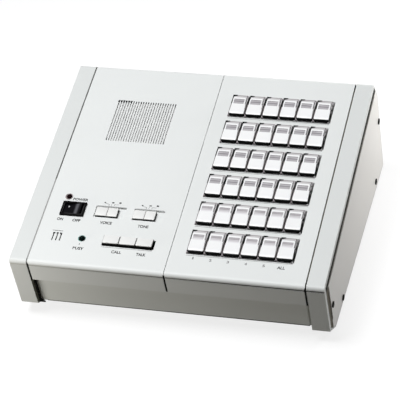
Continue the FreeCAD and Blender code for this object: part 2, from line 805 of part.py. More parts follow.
def make_key_pieces():
    """The cap, label strip and lens that every station key is made of."""
    hull = doc.addObject("Part::Wedge", "key_cap_hull")
    bounds = {
        "Xmin": "0", "Xmax": KEY_WIDTH,
        "X2min": "key_side_slope", "X2max": f"{KEY_WIDTH} - key_side_slope",
        "Ymin": "0", "Ymax": "key_proud",
        "Zmin": "-key_length", "Zmax": "0",
        "Z2min": "key_rear_slope - key_length", "Z2max": "-key_front_slope",
    }
    for prop, text in bounds.items():
        bind(hull, prop, text)
    hull.Placement = Placement(Vector(), Rotation(Vector(1, 0, 0), 90))
    skirt = box("key_skirt_block", KEY_WIDTH, "key_length", "key_skirt", "0", "0", "-key_skirt")
    stem = box("key_stem", "stem_width", "stem_width", "stem_length",
               f"({KEY_WIDTH} - stem_width) / 2", "(key_length - stem_width) / 2",
               "-(key_skirt + stem_length)")
    label_x = f"({KEY_WIDTH} - label_width) / 2"
    label_y = "key_length - label_rear_gap - label_length"
    label_base = "key_proud - lens_thickness - label_thickness"
    recess = box("label_recess", "label_width + 2 * label_clearance", "label_length + 2 * label_clearance",
                 "lens_thickness + label_thickness + 1", f"{label_x} - label_clearance",
                 f"{label_y} - label_clearance", label_base)
    cap = cut("key_cap", join("key_cap_blank", [hull, skirt, stem]), recess)
    label = box("key_label", "label_width", "label_length", "label_thickness",
                label_x, label_y, label_base)
    lens = box("key_lens", "label_width", "label_length", "lens_thickness",
               label_x, label_y, "key_proud - lens_thickness")
    return [cap, label, lens]


def grid_places(x, y):
    """The place of one point of the grid in every row and column, named for its key."""
    for row in range(round(value("key_rows"))):
        for column in range(round(value("key_columns"))):
            name = f"r{row + 1}_c{column + 1}"
            yield name, f"{x} + {column} * key_pitch", f"{y} + {row} * {ROW_PITCH}"


def make_station_keys():
    pieces = make_key_pieces()
    keys = []
    for name, x, y in grid_places(KEY_LEFT, KEY_FRONT):
        keys.append(on_slope(group(f"station_key_{name}", pieces), x, y))
    return keys


SWITCH_TOP = "(key_skirt + key_travel + switch_clearance)"
STEM_WELL = "(stem_width + 2 * stem_clearance)"
STEM_WELL_FLOOR = "(key_skirt + stem_length + key_travel + stem_end_gap)"


def make_station_switches():
    """One push switch under every key, with a square well for the key's stem."""
    housing = box("switch_housing", "switch_width", "switch_length", f"board_depth - {SWITCH_TOP}",
                  "-switch_width / 2", "-switch_length / 2", "-board_depth")
    well = box("switch_stem_well", STEM_WELL, STEM_WELL, STEM_WELL_FLOOR,
               f"-{STEM_WELL} / 2", f"-{STEM_WELL} / 2", f"-{STEM_WELL_FLOOR}")
    switch = cut("one_station_switch", housing, well)
    places = grid_places(f"{KEY_LEFT} + {KEY_WIDTH} / 2", f"{KEY_FRONT} + key_length / 2")
    switches = [at(group(f"switch_{name}", [switch]), x, y) for name, x, y in places]
    return on_slope(group("station_switches", switches))


def board_blank(name, board, studs):
    """A circuit board under its panel, with a hole for the peg of each stud."""
    x, y, width, length = board
    blank = box(f"{name}_blank", width, length, "board_sheet", x, y, "-(board_depth + board_sheet)")
    holes = [round_bar(f"{name}_hole_{number}", "stud_peg_hole", "2 * board_sheet", hole_x, hole_y,
                       "-(board_depth + 1.5 * board_sheet)")
             for number, (hole_x, hole_y) in enumerate(studs, 1)]
    return blank, join(f"{name}_holes", holes)


def make_station_board():
    blank, holes = board_blank("station_board", STATION_BOARD, STATION_STUDS)
    return on_slope(cut("station_board", blank, holes))


# ---------------------------------------------------------------- control board and keys

BANK_KEY_DEPTH = "(key_skirt + bank_key_proud)"
SHUTTER_TOP = "(panel_sheet + shutter_clearance)"
SLIDE_STEM_X = "(knob_inset + knob_width / 2)"


def make_bank_keys():
    """Three plain keys side by side, each with a stem like a station key's."""
    block = box("bank_key_block", "bank_key_width", "bank_key_length", BANK_KEY_DEPTH,
                "0", "0", "-key_skirt")
    stem = box("bank_key_stem", "stem_width", "stem_width", "stem_length",
               "(bank_key_width - stem_width) / 2", "(bank_key_length - stem_width) / 2",
               "-(key_skirt + stem_length)")
    key = join("one_bank_key", [block, stem])
    names = ("call_key_left", "call_key_right", "talk_key")
    return [on_slope(group(name, [key]), f"{BANK_LEFT} + bank_key_inset + {number} * bank_key_pitch",
                     "bank_front + bank_key_front_gap")
            for number, name in enumerate(names)]


def make_slide_knob(name, left):
    """A grooved knob, the shutter that closes its window and the stem into the switch."""
    knob_y = "slide_front + knob_front_gap"
    knob_x = f"{left} + knob_inset"
    cap = box(f"{name}_cap", "knob_width", "knob_length", f"knob_proud + {SHUTTER_TOP}",
              knob_x, knob_y, f"-{SHUTTER_TOP}")
    groove = box(f"{name}_groove", "knob_groove", "knob_length", "knob_groove + 1",
                 f"{knob_x} + (knob_width - knob_groove) / 2", knob_y, "knob_proud - knob_groove")
    shutter = box(f"{name}_shutter", f"{SLIDE_WIDTH} + 2 * shutter_overlap",
                  f"{SLIDE_LENGTH} + 2 * shutter_overlap", "shutter_sheet",
                  f"{left} - shutter_overlap", "slide_front - shutter_overlap",
                  f"-({SHUTTER_TOP} + shutter_sheet)")
    stem = box(f"{name}_stem", "slide_stem", "slide_stem", "slide_stem_length",
               f"{left} + {SLIDE_STEM_X} - slide_stem / 2",
               f"{knob_y} + (knob_length - slide_stem) / 2",
               f"-({SHUTTER_TOP} + slide_stem_length)")
    return on_slope(cut(name, join(f"{name}_blank", [cap, shutter, stem]), groove))


def make_slide_body(name, left):
    """A slide switch on the board, with a slot as long as the stem's travel."""
    slot_width = "(slide_stem + knob_travel + 2 * slide_stem_clearance)"
    slot_length = "(slide_stem + 2 * slide_stem_clearance)"
    stem_x = f"{left} + {SLIDE_STEM_X} - slide_stem / 2 - slide_stem_clearance"
    middle_y = "(slide_front + knob_front_gap + knob_length / 2)"
    case = box(f"{name}_case", f"{slot_width} + 4 * slide_body_wall", "slide_body_length",
               "slide_body_height", f"{stem_x} - 2 * slide_body_wall",
               f"{middle_y} - slide_body_length / 2", "-board_depth")
    slot = box(f"{name}_slot", slot_width, slot_length, "slide_body_height",
               stem_x, f"{middle_y} - {slot_length} / 2", "slide_body_wall - board_depth")
    return cut(name, case, slot)


def make_bank_body():
    """The switch block under the three keys, with a well for each stem."""
    first_x = f"{BANK_LEFT} + bank_key_inset"
    middle_y = "(bank_front + bank_key_front_gap + bank_key_length / 2)"
    case = box("bank_case", "bank_key_count * bank_key_pitch + 2 * bank_body_margin",
               "bank_key_length + 2 * bank_body_margin", f"board_depth - {SWITCH_TOP}",
               f"{first_x} - bank_body_margin", f"{middle_y} - bank_key_length / 2 - bank_body_margin",
               "-board_depth")
    wells = [box(f"bank_well_{number}", STEM_WELL, STEM_WELL, STEM_WELL_FLOOR,
                 f"{first_x} + {number} * bank_key_pitch + (bank_key_width - {STEM_WELL}) / 2",
                 f"{middle_y} - {STEM_WELL} / 2", f"-{STEM_WELL_FLOOR}")
             for number in range(round(value("bank_key_count")))]
    return cut("bank_switch", case, join("bank_wells", wells))


def make_control_board():
    """The board under the left panel, with the parts that are soldered on it."""
    blank, holes = board_blank("control_board", CONTROL_BOARD, CONTROL_STUDS)
    gap = "2 * housing_clearance"
    window = box("rocker_window", f"{HOUSING_WIDTH} + 2 * {gap}", f"{HOUSING_LENGTH} + 2 * {gap}",
                 "2 * board_depth", f"{ROCKER_X} - {HOUSING_WIDTH} / 2 - {gap}",
                 f"rocker_run - {HOUSING_LENGTH} / 2 - {gap}", "-2 * board_depth")
    sheet = cut("control_board_sheet", blank, holes, window)
    microphone = round_bar("microphone", "microphone_width",
                           "board_depth - panel_sheet - microphone_clearance",
                           MICROPHONE_X, "microphone_run", "-board_depth")
    parts = [sheet, make_slide_body("voice_switch", VOICE_LEFT),
             make_slide_body("tone_switch", TONE_LEFT), make_bank_body(), microphone]
    return on_slope(group("control_board", parts))


# ---------------------------------------------------------------- power switch and lamps

def make_power_switch_housing():
    """The bezel and body, with a well for the rocker and a hole for each of its pins."""
    bezel = box("rocker_bezel", f"{HOUSING_WIDTH} + 2 * bezel_lip", f"{HOUSING_LENGTH} + 2 * bezel_lip",
                "bezel_proud", f"-({HOUSING_WIDTH} / 2 + bezel_lip)",
                f"-({HOUSING_LENGTH} / 2 + bezel_lip)", "0")
    case = box("rocker_case", HOUSING_WIDTH, HOUSING_LENGTH, "housing_depth",
               f"-{HOUSING_WIDTH} / 2", f"-{HOUSING_LENGTH} / 2", "-housing_depth")
    well = box("rocker_well", WELL_WIDTH, WELL_LENGTH, "well_depth + bezel_proud + 1",
               f"-{WELL_WIDTH} / 2", f"-{WELL_LENGTH} / 2", "-well_depth")
    pins = round_bar("rocker_pin_hole", "pivot_hole", "rocker_length + 2 * pivot_pin_reach + 0.2",
                     "0", "-(rocker_length / 2 + pivot_pin_reach + 0.1)", "-pivot_drop", Vector(0, 1, 0))
    housing = cut("power_switch_housing", join("rocker_housing_blank", [bezel, case]), well, pins)
    return on_slope(housing, ROCKER_X, "rocker_run")


def make_power_rocker():
    """A rocker with a shallow valley across it, at rest with its left end pressed."""
    half = "rocker_width / 2"
    foot = "rocker_foot_width / 2"
    body = new_body("rocker_body")
    profile = sketch_on(body, "rocker_profile", "XZ_Plane", "-rocker_length / 2")
    outline(profile, [(f"-{half}", "-rocker_waist"), (f"-{foot}", "-rocker_foot"),
                      (foot, "-rocker_foot"), (half, "-rocker_waist"), (half, "rocker_crest"),
                      ("0", "rocker_dip"), (f"-{half}", "rocker_crest")])
    pad(body, profile, "rocker_length")
    pin = sketch_on(body, "rocker_pins", "XZ_Plane", "-(rocker_length / 2 + pivot_pin_reach)")
    circle(pin, "0", "0", "pivot_pin")
    pad(body, pin, "rocker_length + 2 * pivot_pin_reach")
    body.Placement = Placement(Vector(), Rotation(Vector(0, 1, 0), -value("rocker_half_swing")))
    bind(body, "Placement.Rotation.Angle", "rocker_half_swing")
    return on_slope(group("power_rocker", [body]), ROCKER_X, "rocker_run", "-pivot_drop")


def make_lamp(name):
    """A lamp in its clip: rim on the panel, dome above it, body down to the board."""
    rim = round_bar(f"{name}_rim", "lamp_body + 2 * lamp_lip", "lamp_rim_proud", "0", "0", "0")
    dome = doc.addObject("Part::Sphere", f"{name}_dome")
    bind(dome, "Radius", "lamp_dome / 2")
    at(dome, "0", "0", "lamp_rim_proud + lamp_dome_proud - lamp_dome / 2")
    body = round_bar(f"{name}_body", "lamp_body", "board_depth", "0", "0", "-board_depth")
    return on_slope(join(name, [rim, dome, body]), *LAMP_PLACES[name])


# ---------------------------------------------------------------- speaker

def make_speaker():
    """Basket, cone and magnet, with the basket's rim flat against the panel."""
    rim_inner = "(speaker_width - 2 * speaker_rim_width)"
    rim = round_bar("basket_rim", "speaker_width", "speaker_sheet", "0", "0", "-speaker_sheet")
    shell = taper_bar("basket_shell", "speaker_back_width", f"{rim_inner} + 2 * speaker_sheet",
                      "speaker_depth", "0", "0", "-speaker_depth")
    hollow_cone = taper_bar("basket_hollow", "speaker_back_width - 2 * speaker_sheet", rim_inner,
                            "speaker_depth - speaker_sheet", "0", "0", "speaker_sheet - speaker_depth")
    mouth = round_bar("basket_mouth", rim_inner, "2 * speaker_sheet", "0", "0", "-speaker_sheet")
    basket = cut("basket", join("basket_blank", [rim, shell]), join("basket_room", [hollow_cone, mouth]))
    cone_top = "-2 * speaker_sheet"
    paper = taper_bar("cone_outside", "cone_neck", "cone_width", "cone_depth",
                      "0", "0", f"{cone_top} - cone_depth")
    inside = taper_bar("cone_inside", "cone_neck - 2 * cone_paper", "cone_width - 2 * cone_paper",
                       "cone_depth", "0", "0", f"{cone_top} - cone_depth + cone_paper")
    cone = cut("speaker_cone", paper, inside)
    magnet = round_bar("magnet", "magnet_width", "magnet_height", "0", "0",
                       "-(speaker_depth + magnet_height)")
    return on_slope(group("speaker", [basket, cone, magnet]), SPEAKER_X, SPEAKER_Y, "-panel_sheet")


# ---------------------------------------------------------------- transformer and terminals

def make_transformer():
    """A laminated core with two windows, and the coil round its middle limb."""
    limb = "(2 * core_limb)"
    window_width = f"((core_width - 2 * core_limb - {limb}) / 2)"
    window_height = "(core_height - 2 * core_limb)"
    block = box("core_block", "core_width", "core_depth", "core_height",
                "-core_width / 2", "-core_depth / 2", "0")
    windows = [box(f"core_window_{number}", window_width, "2 * core_depth", window_height,
                   x, "-core_depth", "core_limb")
               for number, x in enumerate((f"-({limb} / 2 + {window_width})", f"{limb} / 2"), 1)]
    core = cut("transformer_core", block, join("core_windows", windows))
    coil_width = f"({limb} + 2 * {window_width} - 2 * coil_clearance)"
    coil_height = f"({window_height} - 2 * coil_clearance)"
    winding = box("coil_block", coil_width, "coil_depth", coil_height,
                  f"-{coil_width} / 2", "-coil_depth / 2", "core_limb + coil_clearance")
    hole_width = f"({limb} + 2 * coil_clearance)"
    hole_depth = "(core_depth + 2 * coil_clearance)"
    hole = box("coil_hole", hole_width, hole_depth, "core_height",
               f"-{hole_width} / 2", f"-{hole_depth} / 2", "0")
    coil = cut("transformer_coil", winding, hole)
    return at(group("transformer", [core, coil]), "transformer_x", "transformer_y",
              f"{FLOOR_Z} + tray_sheet")


def make_rear_terminals():
    """A screw terminal block behind the cable outlet: wire holes behind, screws on top."""
    base = f"{FLOOR_Z} + tray_sheet"
    rear = f"({REAR_REACH} + {SLOPE_Y} - terminal_setback)"
    block = box("terminal_block", TERMINAL_WIDTH, "terminal_depth",
                "outlet_sill - tray_sheet + terminal_height",
                f"-{TERMINAL_WIDTH} / 2", f"{rear} - terminal_depth", base)
    entry_z = f"{FLOOR_Z} + outlet_sill + terminal_height / 2"
    top_z = f"{FLOOR_Z} + outlet_sill + terminal_height - terminal_screw_depth"
    holes = []
    for number in range(round(value("terminal_count"))):
        x = f"({number} - (terminal_count - 1) / 2) * terminal_pitch"
        holes.append(round_bar(f"wire_hole_{number}", "terminal_hole", "terminal_hole_depth + 1",
                               x, f"{rear} + 1", entry_z, Vector(0, -1, 0)))
        holes.append(round_bar(f"screw_well_{number}", "terminal_screw", "terminal_screw_depth + 1",
                               x, f"{rear} - terminal_depth / 2", top_z))
    return cut("rear_terminals", block, join("terminal_holes", holes))


# ---------------------------------------------------------------- assembly

left_cheek = make_left_cheek()
left_side_plate = make_left_side_plate()
nodes = [
    make_base_tray(),
    make_left_panel(),
    make_right_panel(),
    left_cheek,
    mirror("right_cheek", left_cheek),
    left_side_plate,
    mirror("right_side_plate", left_side_plate),
    make_side_screws(),
    make_rubber_feet(),
    make_speaker(),
    make_power_switch_housing(),
    make_power_rocker(),
    make_lamp("power_lamp"),
    make_lamp("busy_lamp"),
    make_slide_knob("voice_slide_knob", VOICE_LEFT),
    make_slide_knob("tone_slide_knob", TONE_LEFT),
    make_station_board(),
    make_station_switches(),
    make_control_board(),
    make_transformer(),
    make_rear_terminals(),
]
nodes += make_bank_keys()
nodes += make_station_keys()
doc.recompute()

failed = [item.Name for item in doc.Objects if {"Invalid", "Error"} & set(item.State)]
if failed:
    raise RuntimeError(f"failed objects: {failed}")
for node in nodes:
    if node.Shape.isNull() or not node.Shape.isValid():
        raise RuntimeError(f"{node.Label} has no valid shape")

os.makedirs("parts", exist_ok=True)
for node in nodes:
    node.Shape.exportStep(f"parts/{node.Label}.step")
    print(f"{node.Label}: {len(node.Shape.Solids)} solids, {node.Shape.Volume:.0f} mm3")
print(len(nodes), "nodes")
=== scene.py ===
import json
import math

import bmesh
import bpy
from mathutils import Euler, Matrix, Vector


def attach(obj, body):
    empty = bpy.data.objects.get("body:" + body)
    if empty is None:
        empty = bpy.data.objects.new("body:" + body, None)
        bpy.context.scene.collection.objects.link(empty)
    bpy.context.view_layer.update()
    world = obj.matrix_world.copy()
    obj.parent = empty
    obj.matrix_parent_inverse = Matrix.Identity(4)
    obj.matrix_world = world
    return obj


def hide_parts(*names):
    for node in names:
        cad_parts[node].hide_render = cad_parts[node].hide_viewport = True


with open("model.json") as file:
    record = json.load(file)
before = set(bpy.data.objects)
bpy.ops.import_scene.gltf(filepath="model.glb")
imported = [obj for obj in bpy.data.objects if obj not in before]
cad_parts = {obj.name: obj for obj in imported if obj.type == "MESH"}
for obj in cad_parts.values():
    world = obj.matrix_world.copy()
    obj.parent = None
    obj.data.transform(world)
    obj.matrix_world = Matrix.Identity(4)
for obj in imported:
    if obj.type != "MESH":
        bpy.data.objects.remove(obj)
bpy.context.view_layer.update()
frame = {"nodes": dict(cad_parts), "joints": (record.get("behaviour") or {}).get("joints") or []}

# The dressed desk intercom. Lengths are written in millimetres and turned to metres with MM.
# Pieces are shaped flat in panel coordinates: x to the right from the middle of the case,
# run up the slope from the front edge of the top panel, rise out of the panel, square to it.

MM = 0.001
scene = bpy.context.scene
nodes = frame["nodes"]


# ---------------- places from the frame

def joint_of(body):
    return next(joint for joint in frame["joints"] if joint["child"] == body)


press = joint_of("talk_key")["axis"]
TILT = math.atan2(press[1], -press[2])
TURN = Matrix.Rotation(TILT, 4, "X")


def flat_points(node):
    """A node's corners, turned so that the top panel lies level."""
    back = TURN.inverted()
    return [back @ vertex.co for vertex in nodes[node].data.vertices]


def box_of(points):
    """The low and the high corner of the box round some points."""
    return [Vector(pick(point[axis] for point in points) for axis in range(3)) for pick in (min, max)]


def flat_box(node):
    low, high = box_of(flat_points(node))
    return low - PANEL_START, high - PANEL_START


def flat_middle(node):
    """The x and the run of a node's middle, in metres."""
    low, high = flat_box(node)
    return ((low + high) / 2).xy


FRONT_LEAN = 1.8 / 54
PANEL_START = Vector((0, 0, 0))
panel_low, panel_high = flat_box("left_panel")
PANEL_START = Vector((0, panel_low.y + FRONT_LEAN * (panel_high.z - panel_low.z), panel_high.z))
PANEL = TURN @ Matrix.Translation(PANEL_START)


# ---------------- working in the viewport's way

# How near to a piece's low end a lean takes hold, and the largest face that isn't sunk, in mm2.
LEAN_REACH = 4
SMALL_FACE = 4


def deselect():
    if bpy.context.object and bpy.context.object.mode != "OBJECT":
        bpy.ops.object.mode_set(mode="OBJECT")
    bpy.ops.object.select_all(action="DESELECT")


def activate(*pieces):
    deselect()
    for piece in pieces:
        piece.select_set(True)
    bpy.context.view_layer.objects.active = pieces[0]


def apply_place(piece):
    activate(piece)
    bpy.ops.object.transform_apply(location=True, rotation=True, scale=True)


def settle(name, paint):
    """Name and paint the piece that was just added, and apply its place."""
    piece = bpy.context.object
    piece.name = name
    piece.data.materials.append(paint)
    apply_place(piece)
    return piece


def block(name, low, high, paint):
    """A closed block between two corners, in millimetres."""
    deselect()
    low, high = Vector(low) * MM, Vector(high) * MM
    bpy.ops.mesh.primitive_cube_add(size=1, location=(low + high) / 2, scale=high - low)
    return settle(name, paint)


def drum(name, radius, low, high, paint, sides=32):
    """A closed round block about the upright axis, between two heights, in millimetres."""
    deselect()
    bpy.ops.mesh.primitive_cylinder_add(vertices=sides, radius=radius * MM, depth=(high - low) * MM,
                                        location=(0, 0, (low + high) / 2 * MM))
    return settle(name, paint)


def choose(piece, kind, wanted):
    """In edit mode, select the piece's faces, edges or corners that a test wants."""
    activate(piece)
    bpy.ops.object.mode_set(mode="EDIT")
    bpy.ops.mesh.select_mode(type=kind)
    bpy.ops.mesh.select_all(action="DESELECT")
    mesh = bmesh.from_edit_mesh(piece.data)
    for item in {"FACE": mesh.faces, "EDGE": mesh.edges, "VERT": mesh.verts}[kind]:
        item.select_set(bool(wanted(item)))
    mesh.select_flush_mode()
    bmesh.update_edit_mesh(piece.data)


def leave(piece):
    bpy.ops.object.mode_set(mode="OBJECT")
    return piece


def middle(edge):
    return (edge.verts[0].co + edge.verts[1].co) / 2


def above(height):
    """A test for edges whose middle lies above a height, in millimetres."""
    return lambda edge: middle(edge).z > height * MM


def upright(edge):
    a, b = (vertex.co for vertex in edge.verts)
    return abs(a.z - b.z) > 0.5 * (a - b).length


def faces_up(face):
    return face.normal.z > 0.9


def nudge(piece, wanted, move):
    """Move the corners of a piece that a test wants."""
    choose(piece, "VERT", lambda vertex: wanted(vertex.co / MM))
    bpy.ops.transform.translate(value=Vector(move) * MM)
    return leave(piece)


def round_edges(piece, wanted, width, segments=3):
    choose(piece, "EDGE", wanted)
    bpy.ops.mesh.bevel(offset=width * MM, segments=segments, affect="EDGES")
    return leave(piece)


def lean(piece, low):
    """Lean a piece's low end forwards, as the front of the case leans."""
    return nudge(piece, lambda place: place.z < low + LEAN_REACH, (0, FRONT_LEAN * low, 0))


def move_top(piece, toward, grow):
    """Slope the walls of a block by moving and scaling its top face."""
    choose(piece, "FACE", faces_up)
    bpy.ops.transform.resize(value=grow)
    bpy.ops.transform.translate(value=Vector(toward) * MM)
    return leave(piece)


def sink_middle(piece, rim, depth):
    """Sink the middle of a piece's large upper face, inside a rim."""
    choose(piece, "FACE", lambda face: faces_up(face) and face.calc_area() > SMALL_FACE * MM * MM)
    bpy.ops.mesh.inset(thickness=rim * MM, depth=0)
    bpy.ops.mesh.extrude_region_move(TRANSFORM_OT_translate={"value": (0, 0, -depth * MM)})
    return leave(piece)


def merge(name, pieces):
    activate(*pieces)
    bpy.ops.object.join()
    pieces[0].name = name
    return pieces[0]


def smooth(piece, angle=40):
    activate(piece)
    bpy.ops.object.shade_smooth_by_angle(angle=math.radians(angle))
    return piece


def copy_of(piece, name):
    twin = piece.copy()
    twin.data = piece.data.copy()
    twin.name = name
    scene.collection.objects.link(twin)
    return twin


def lay_on_panel(piece, x=0.0, run=0.0):
    """Carry a piece from flat panel coordinates to its place on the slope; x and run in metres."""
    piece.matrix_world = PANEL @ Matrix.Translation((x, run, 0))
    apply_place(piece)
    return piece


# ---------------- shader groups

def new_group(name, inputs, outputs):
    group = bpy.data.node_groups.new(name, "ShaderNodeTree")
    for label, kind, value in inputs:
        socket = group.interface.new_socket(label, in_out="INPUT", socket_type=f"NodeSocket{kind}")
        socket.default_value = value
    for label, kind in outputs:
        group.interface.new_socket(label, in_out="OUTPUT", socket_type=f"NodeSocket{kind}")
    start = group.nodes.new("NodeGroupInput")
    end = group.nodes.new("NodeGroupOutput")
    return group, start, end


def add(tree, kind, **settings):
    """A shader node with values on its inputs, whose spaces are written as underscores."""
    node = tree.nodes.new(f"ShaderNode{kind}")
    for key, value in settings.items():
        if key.replace("_", " ") in node.inputs:
            node.inputs[key.replace("_", " ")].default_value = value
        else:
            setattr(node, key, value)
    return node


def join_up(tree, *wires):
    """Join each output to its input."""
    for source, goal in wires:
        tree.links.new(source, goal)


def place_across(tree):
    """The distance to the right of the middle of the case, in metres."""
    place = add(tree, "TexCoord")
    split = add(tree, "SeparateXYZ")
    tree.links.new(place.outputs["Object"], split.inputs[0])
    return split.outputs["X"]


def make_surface_group():
    """Cloudy tone, fine grain and grain height, as on sprayed or moulded surfaces."""
    group, start, end = new_group(
        "surface_grain",
        [("Colour", "Color", (0.8, 0.8, 0.8, 1)), ("Tone", "Float", 0.03),
         ("Cloud Size", "Float", 18.0), ("Grain Size", "Float", 1800.0),
         ("Roughness", "Float", 0.4), ("Spread", "Float", 0.08)],
        [("Colour", "Color"), ("Roughness", "Float"), ("Height", "Float")])
    place = add(group, "TexCoord")
    cloud = add(group, "TexNoise", Detail=3.0)
    grain = add(group, "TexNoise", Detail=2.0)
    for noise, size in ((cloud, "Cloud Size"), (grain, "Grain Size")):
        join_up(group, (place.outputs["Object"], noise.inputs["Vector"]),
                (start.outputs[size], noise.inputs["Scale"]))
    lift = add(group, "MapRange", From_Min=0.3, From_Max=0.7)
    low = add(group, "Math", operation="SUBTRACT")
    high = add(group, "Math", operation="ADD")
    tint = add(group, "VectorMath", operation="SCALE")
    gloss = add(group, "Math", operation="MULTIPLY_ADD")
    for limit, goal in ((low, "To Min"), (high, "To Max")):
        limit.inputs[0].default_value = 1.0
        join_up(group, (start.outputs["Tone"], limit.inputs[1]), (limit.outputs[0], lift.inputs[goal]))
    join_up(group, (cloud.outputs["Fac"], lift.inputs["Value"]),
            (start.outputs["Colour"], tint.inputs[0]),
            (lift.outputs["Result"], tint.inputs["Scale"]),
            (tint.outputs["Vector"], end.inputs["Colour"]),
            (grain.outputs["Fac"], gloss.inputs[0]),
            (start.outputs["Spread"], gloss.inputs[1]),
            (start.outputs["Roughness"], gloss.inputs[2]),
            (gloss.outputs[0], end.inputs["Roughness"]),
            (grain.outputs["Fac"], end.inputs["Height"]))
    return group


def make_inside_shade_group():
    """One within a given distance of the middle of the case, and nought outside it."""
    group, start, end = new_group("painted_inside_shade", [("Half Width", "Float", 0.12)],
                                  [("Inside", "Float")])
    size = add(group, "Math", operation="ABSOLUTE")
    inside = add(group, "Math", operation="LESS_THAN")
    join_up(group, (place_across(group), size.inputs[0]),
            (size.outputs[0], inside.inputs[0]),
            (start.outputs["Half Width"], inside.inputs[1]),
            (inside.outputs[0], end.inputs["Inside"]))
    return group


def make_label_group():
    """The lines of a paper label, across a key's own map, fading towards its front edge, with painted shade
    darkest at the label's rear.
    """
    group, start, end = new_group(
        "label_lines",
        [("Paper", "Color", (0.5, 0.5, 0.5, 1)), ("Line", "Color", (0.2, 0.2, 0.2, 1)),
         ("Lines", "Float", 3.0), ("Front", "Color", (0.8, 0.8, 0.8, 1))],
        [("Colour", "Color")])
    place = add(group, "UVMap", uv_map="key_map")
    split = add(group, "SeparateXYZ")
    count = add(group, "Math", operation="MULTIPLY")
    wave = add(group, "Math", operation="PINGPONG")
    wave.inputs[1].default_value = 0.5
    soften = add(group, "MapRange", interpolation_type="SMOOTHSTEP", From_Min=0.08, From_Max=0.38)
    lined = add(group, "Mix", data_type="RGBA")
    fade = add(group, "MapRange", interpolation_type="SMOOTHSTEP", From_Min=0.9, From_Max=-0.1)
    blend = add(group, "Mix", data_type="RGBA")
    join_up(group, (place.outputs["UV"], split.inputs[0]),
            (split.outputs["Y"], count.inputs[0]),
            (start.outputs["Lines"], count.inputs[1]),
            (count.outputs[0], wave.inputs[0]),
            (wave.outputs[0], soften.inputs["Value"]),
            (soften.outputs["Result"], lined.inputs["Factor"]),
            (start.outputs["Line"], lined.inputs[6]),
            (start.outputs["Paper"], lined.inputs[7]),
            (split.outputs["Y"], fade.inputs["Value"]),
            (fade.outputs["Result"], blend.inputs["Factor"]),
            (lined.outputs[2], blend.inputs[6]),
            (start.outputs["Front"], blend.inputs[7]),
            (blend.outputs[2], end.inputs["Colour"]))
    return group


def make_band_group():
    """One along a soft band across the object, at a distance from the middle of the case."""
    group, start, end = new_group("soft_band", [("Middle", "Float", 0.0), ("Half Width", "Float", 0.002)],
                                  [("Band", "Float")])
    away = add(group, "Math", operation="SUBTRACT")
    size = add(group, "Math", operation="ABSOLUTE")
    soften = add(group, "MapRange", interpolation_type="SMOOTHERSTEP", From_Max=0.0)
    join_up(group, (place_across(group), away.inputs[0]),
            (start.outputs["Middle"], away.inputs[1]),
            (away.outputs[0], size.inputs[0]),
            (size.outputs[0], soften.inputs["Value"]),
            (start.outputs["Half Width"], soften.inputs["From Min"]),
            (soften.outputs["Result"], end.inputs["Band"]))
    return group


SURFACE = make_surface_group()
INSIDE_SHADE = make_inside_shade_group()
LABEL = make_label_group()
BAND = make_band_group()


def use_group(tree, group, **values):
    """Put a shader group in a material, with values on its inputs."""
    node = add(tree, "Group")
    node.node_tree = group
    for key, value in values.items():
        node.inputs[key.replace("_", " ")].default_value = value
    return node


GRAIN_DEPTH = 0.02


def finish(name, colour, roughness=0.4, tone=0.02, cloud=60.0, grain=1800.0, bump=0.1, **shader_values):
    """A material on the surface group; colour is linear red, green, blue."""
    material = bpy.data.materials.new(name)
    material.use_nodes = True
    tree = material.node_tree
    shader = tree.nodes["Principled BSDF"]
    for key, value in shader_values.items():
        shader.inputs[key.replace("_", " ")].default_value = value
    skin = use_group(tree, SURFACE, Colour=(*colour, 1), Tone=tone, Cloud_Size=cloud, Grain_Size=grain,
                     Roughness=roughness)
    skin.name = "skin"
    relief = add(tree, "Bump", Strength=bump, Distance=GRAIN_DEPTH * MM)
    join_up(tree, (skin.outputs["Colour"], shader.inputs["Base Color"]),
            (skin.outputs["Roughness"], shader.inputs["Roughness"]),
            (skin.outputs["Height"], relief.inputs["Height"]),
            (relief.outputs["Normal"], shader.inputs["Normal"]))
    return material


def recolour(tree, source):
    tree.links.new(source, tree.nodes["Principled BSDF"].inputs["Base Color"])


def colour_over(tree, share, colour):
    """Lay a colour over a material's own, as far as a share says."""
    blend = add(tree, "Mix", data_type="RGBA")
    blend.inputs[7].default_value = (*colour, 1)
    join_up(tree, (share, blend.inputs["Factor"]), (tree.nodes["skin"].outputs["Colour"], blend.inputs[6]))
    recolour(tree, blend.outputs[2])


def paint_inside_shade(material, colour, half_width):
    """Lay painted shade on a piece where it faces the inside of the case."""
    inside = use_group(material.node_tree, INSIDE_SHADE, Half_Width=half_width * MM)
    colour_over(material.node_tree, inside.outputs["Inside"], colour)


def paint_sheen_band(material, colour, middle, half_width):
    """A soft band of another colour across a material: a painted sheen."""
    band = use_group(material.node_tree, BAND, Middle=middle * MM, Half_Width=half_width * MM)
    colour_over(material.node_tree, band.outputs["Band"], colour)


def paint_shade_across(material, tones):
    """Let a material's tone follow the distance from the middle of the case: painted shade that changes
    across the front.
    """
    tree = material.node_tree
    low, high = tones[0][0], tones[-1][0]
    reach = add(tree, "MapRange", From_Min=low * MM, From_Max=high * MM)
    ramp = add(tree, "ValToRGB")
    for number, (x, tone) in enumerate(tones):
        share = (x - low) / (high - low)
        mark = ramp.color_ramp.elements[number] if number < 2 else ramp.color_ramp.elements.new(share)
        mark.position = share
        mark.color = (tone, tone, 0.96 * tone, 1)
    tree.links.new(place_across(tree), reach.inputs["Value"])
    tree.links.new(reach.outputs["Result"], ramp.inputs["Fac"])
    recolour(tree, ramp.outputs["Color"])


def line_label(material, line, front, count):
    """Rule a paper label with darker lines."""
    tree = material.node_tree
    lines = use_group(tree, LABEL, Line=(*line, 1), Front=(*front, 1), Lines=count)
    tree.links.new(tree.nodes["skin"].outputs["Colour"], lines.inputs["Paper"])
    recolour(tree, lines.outputs["Colour"])


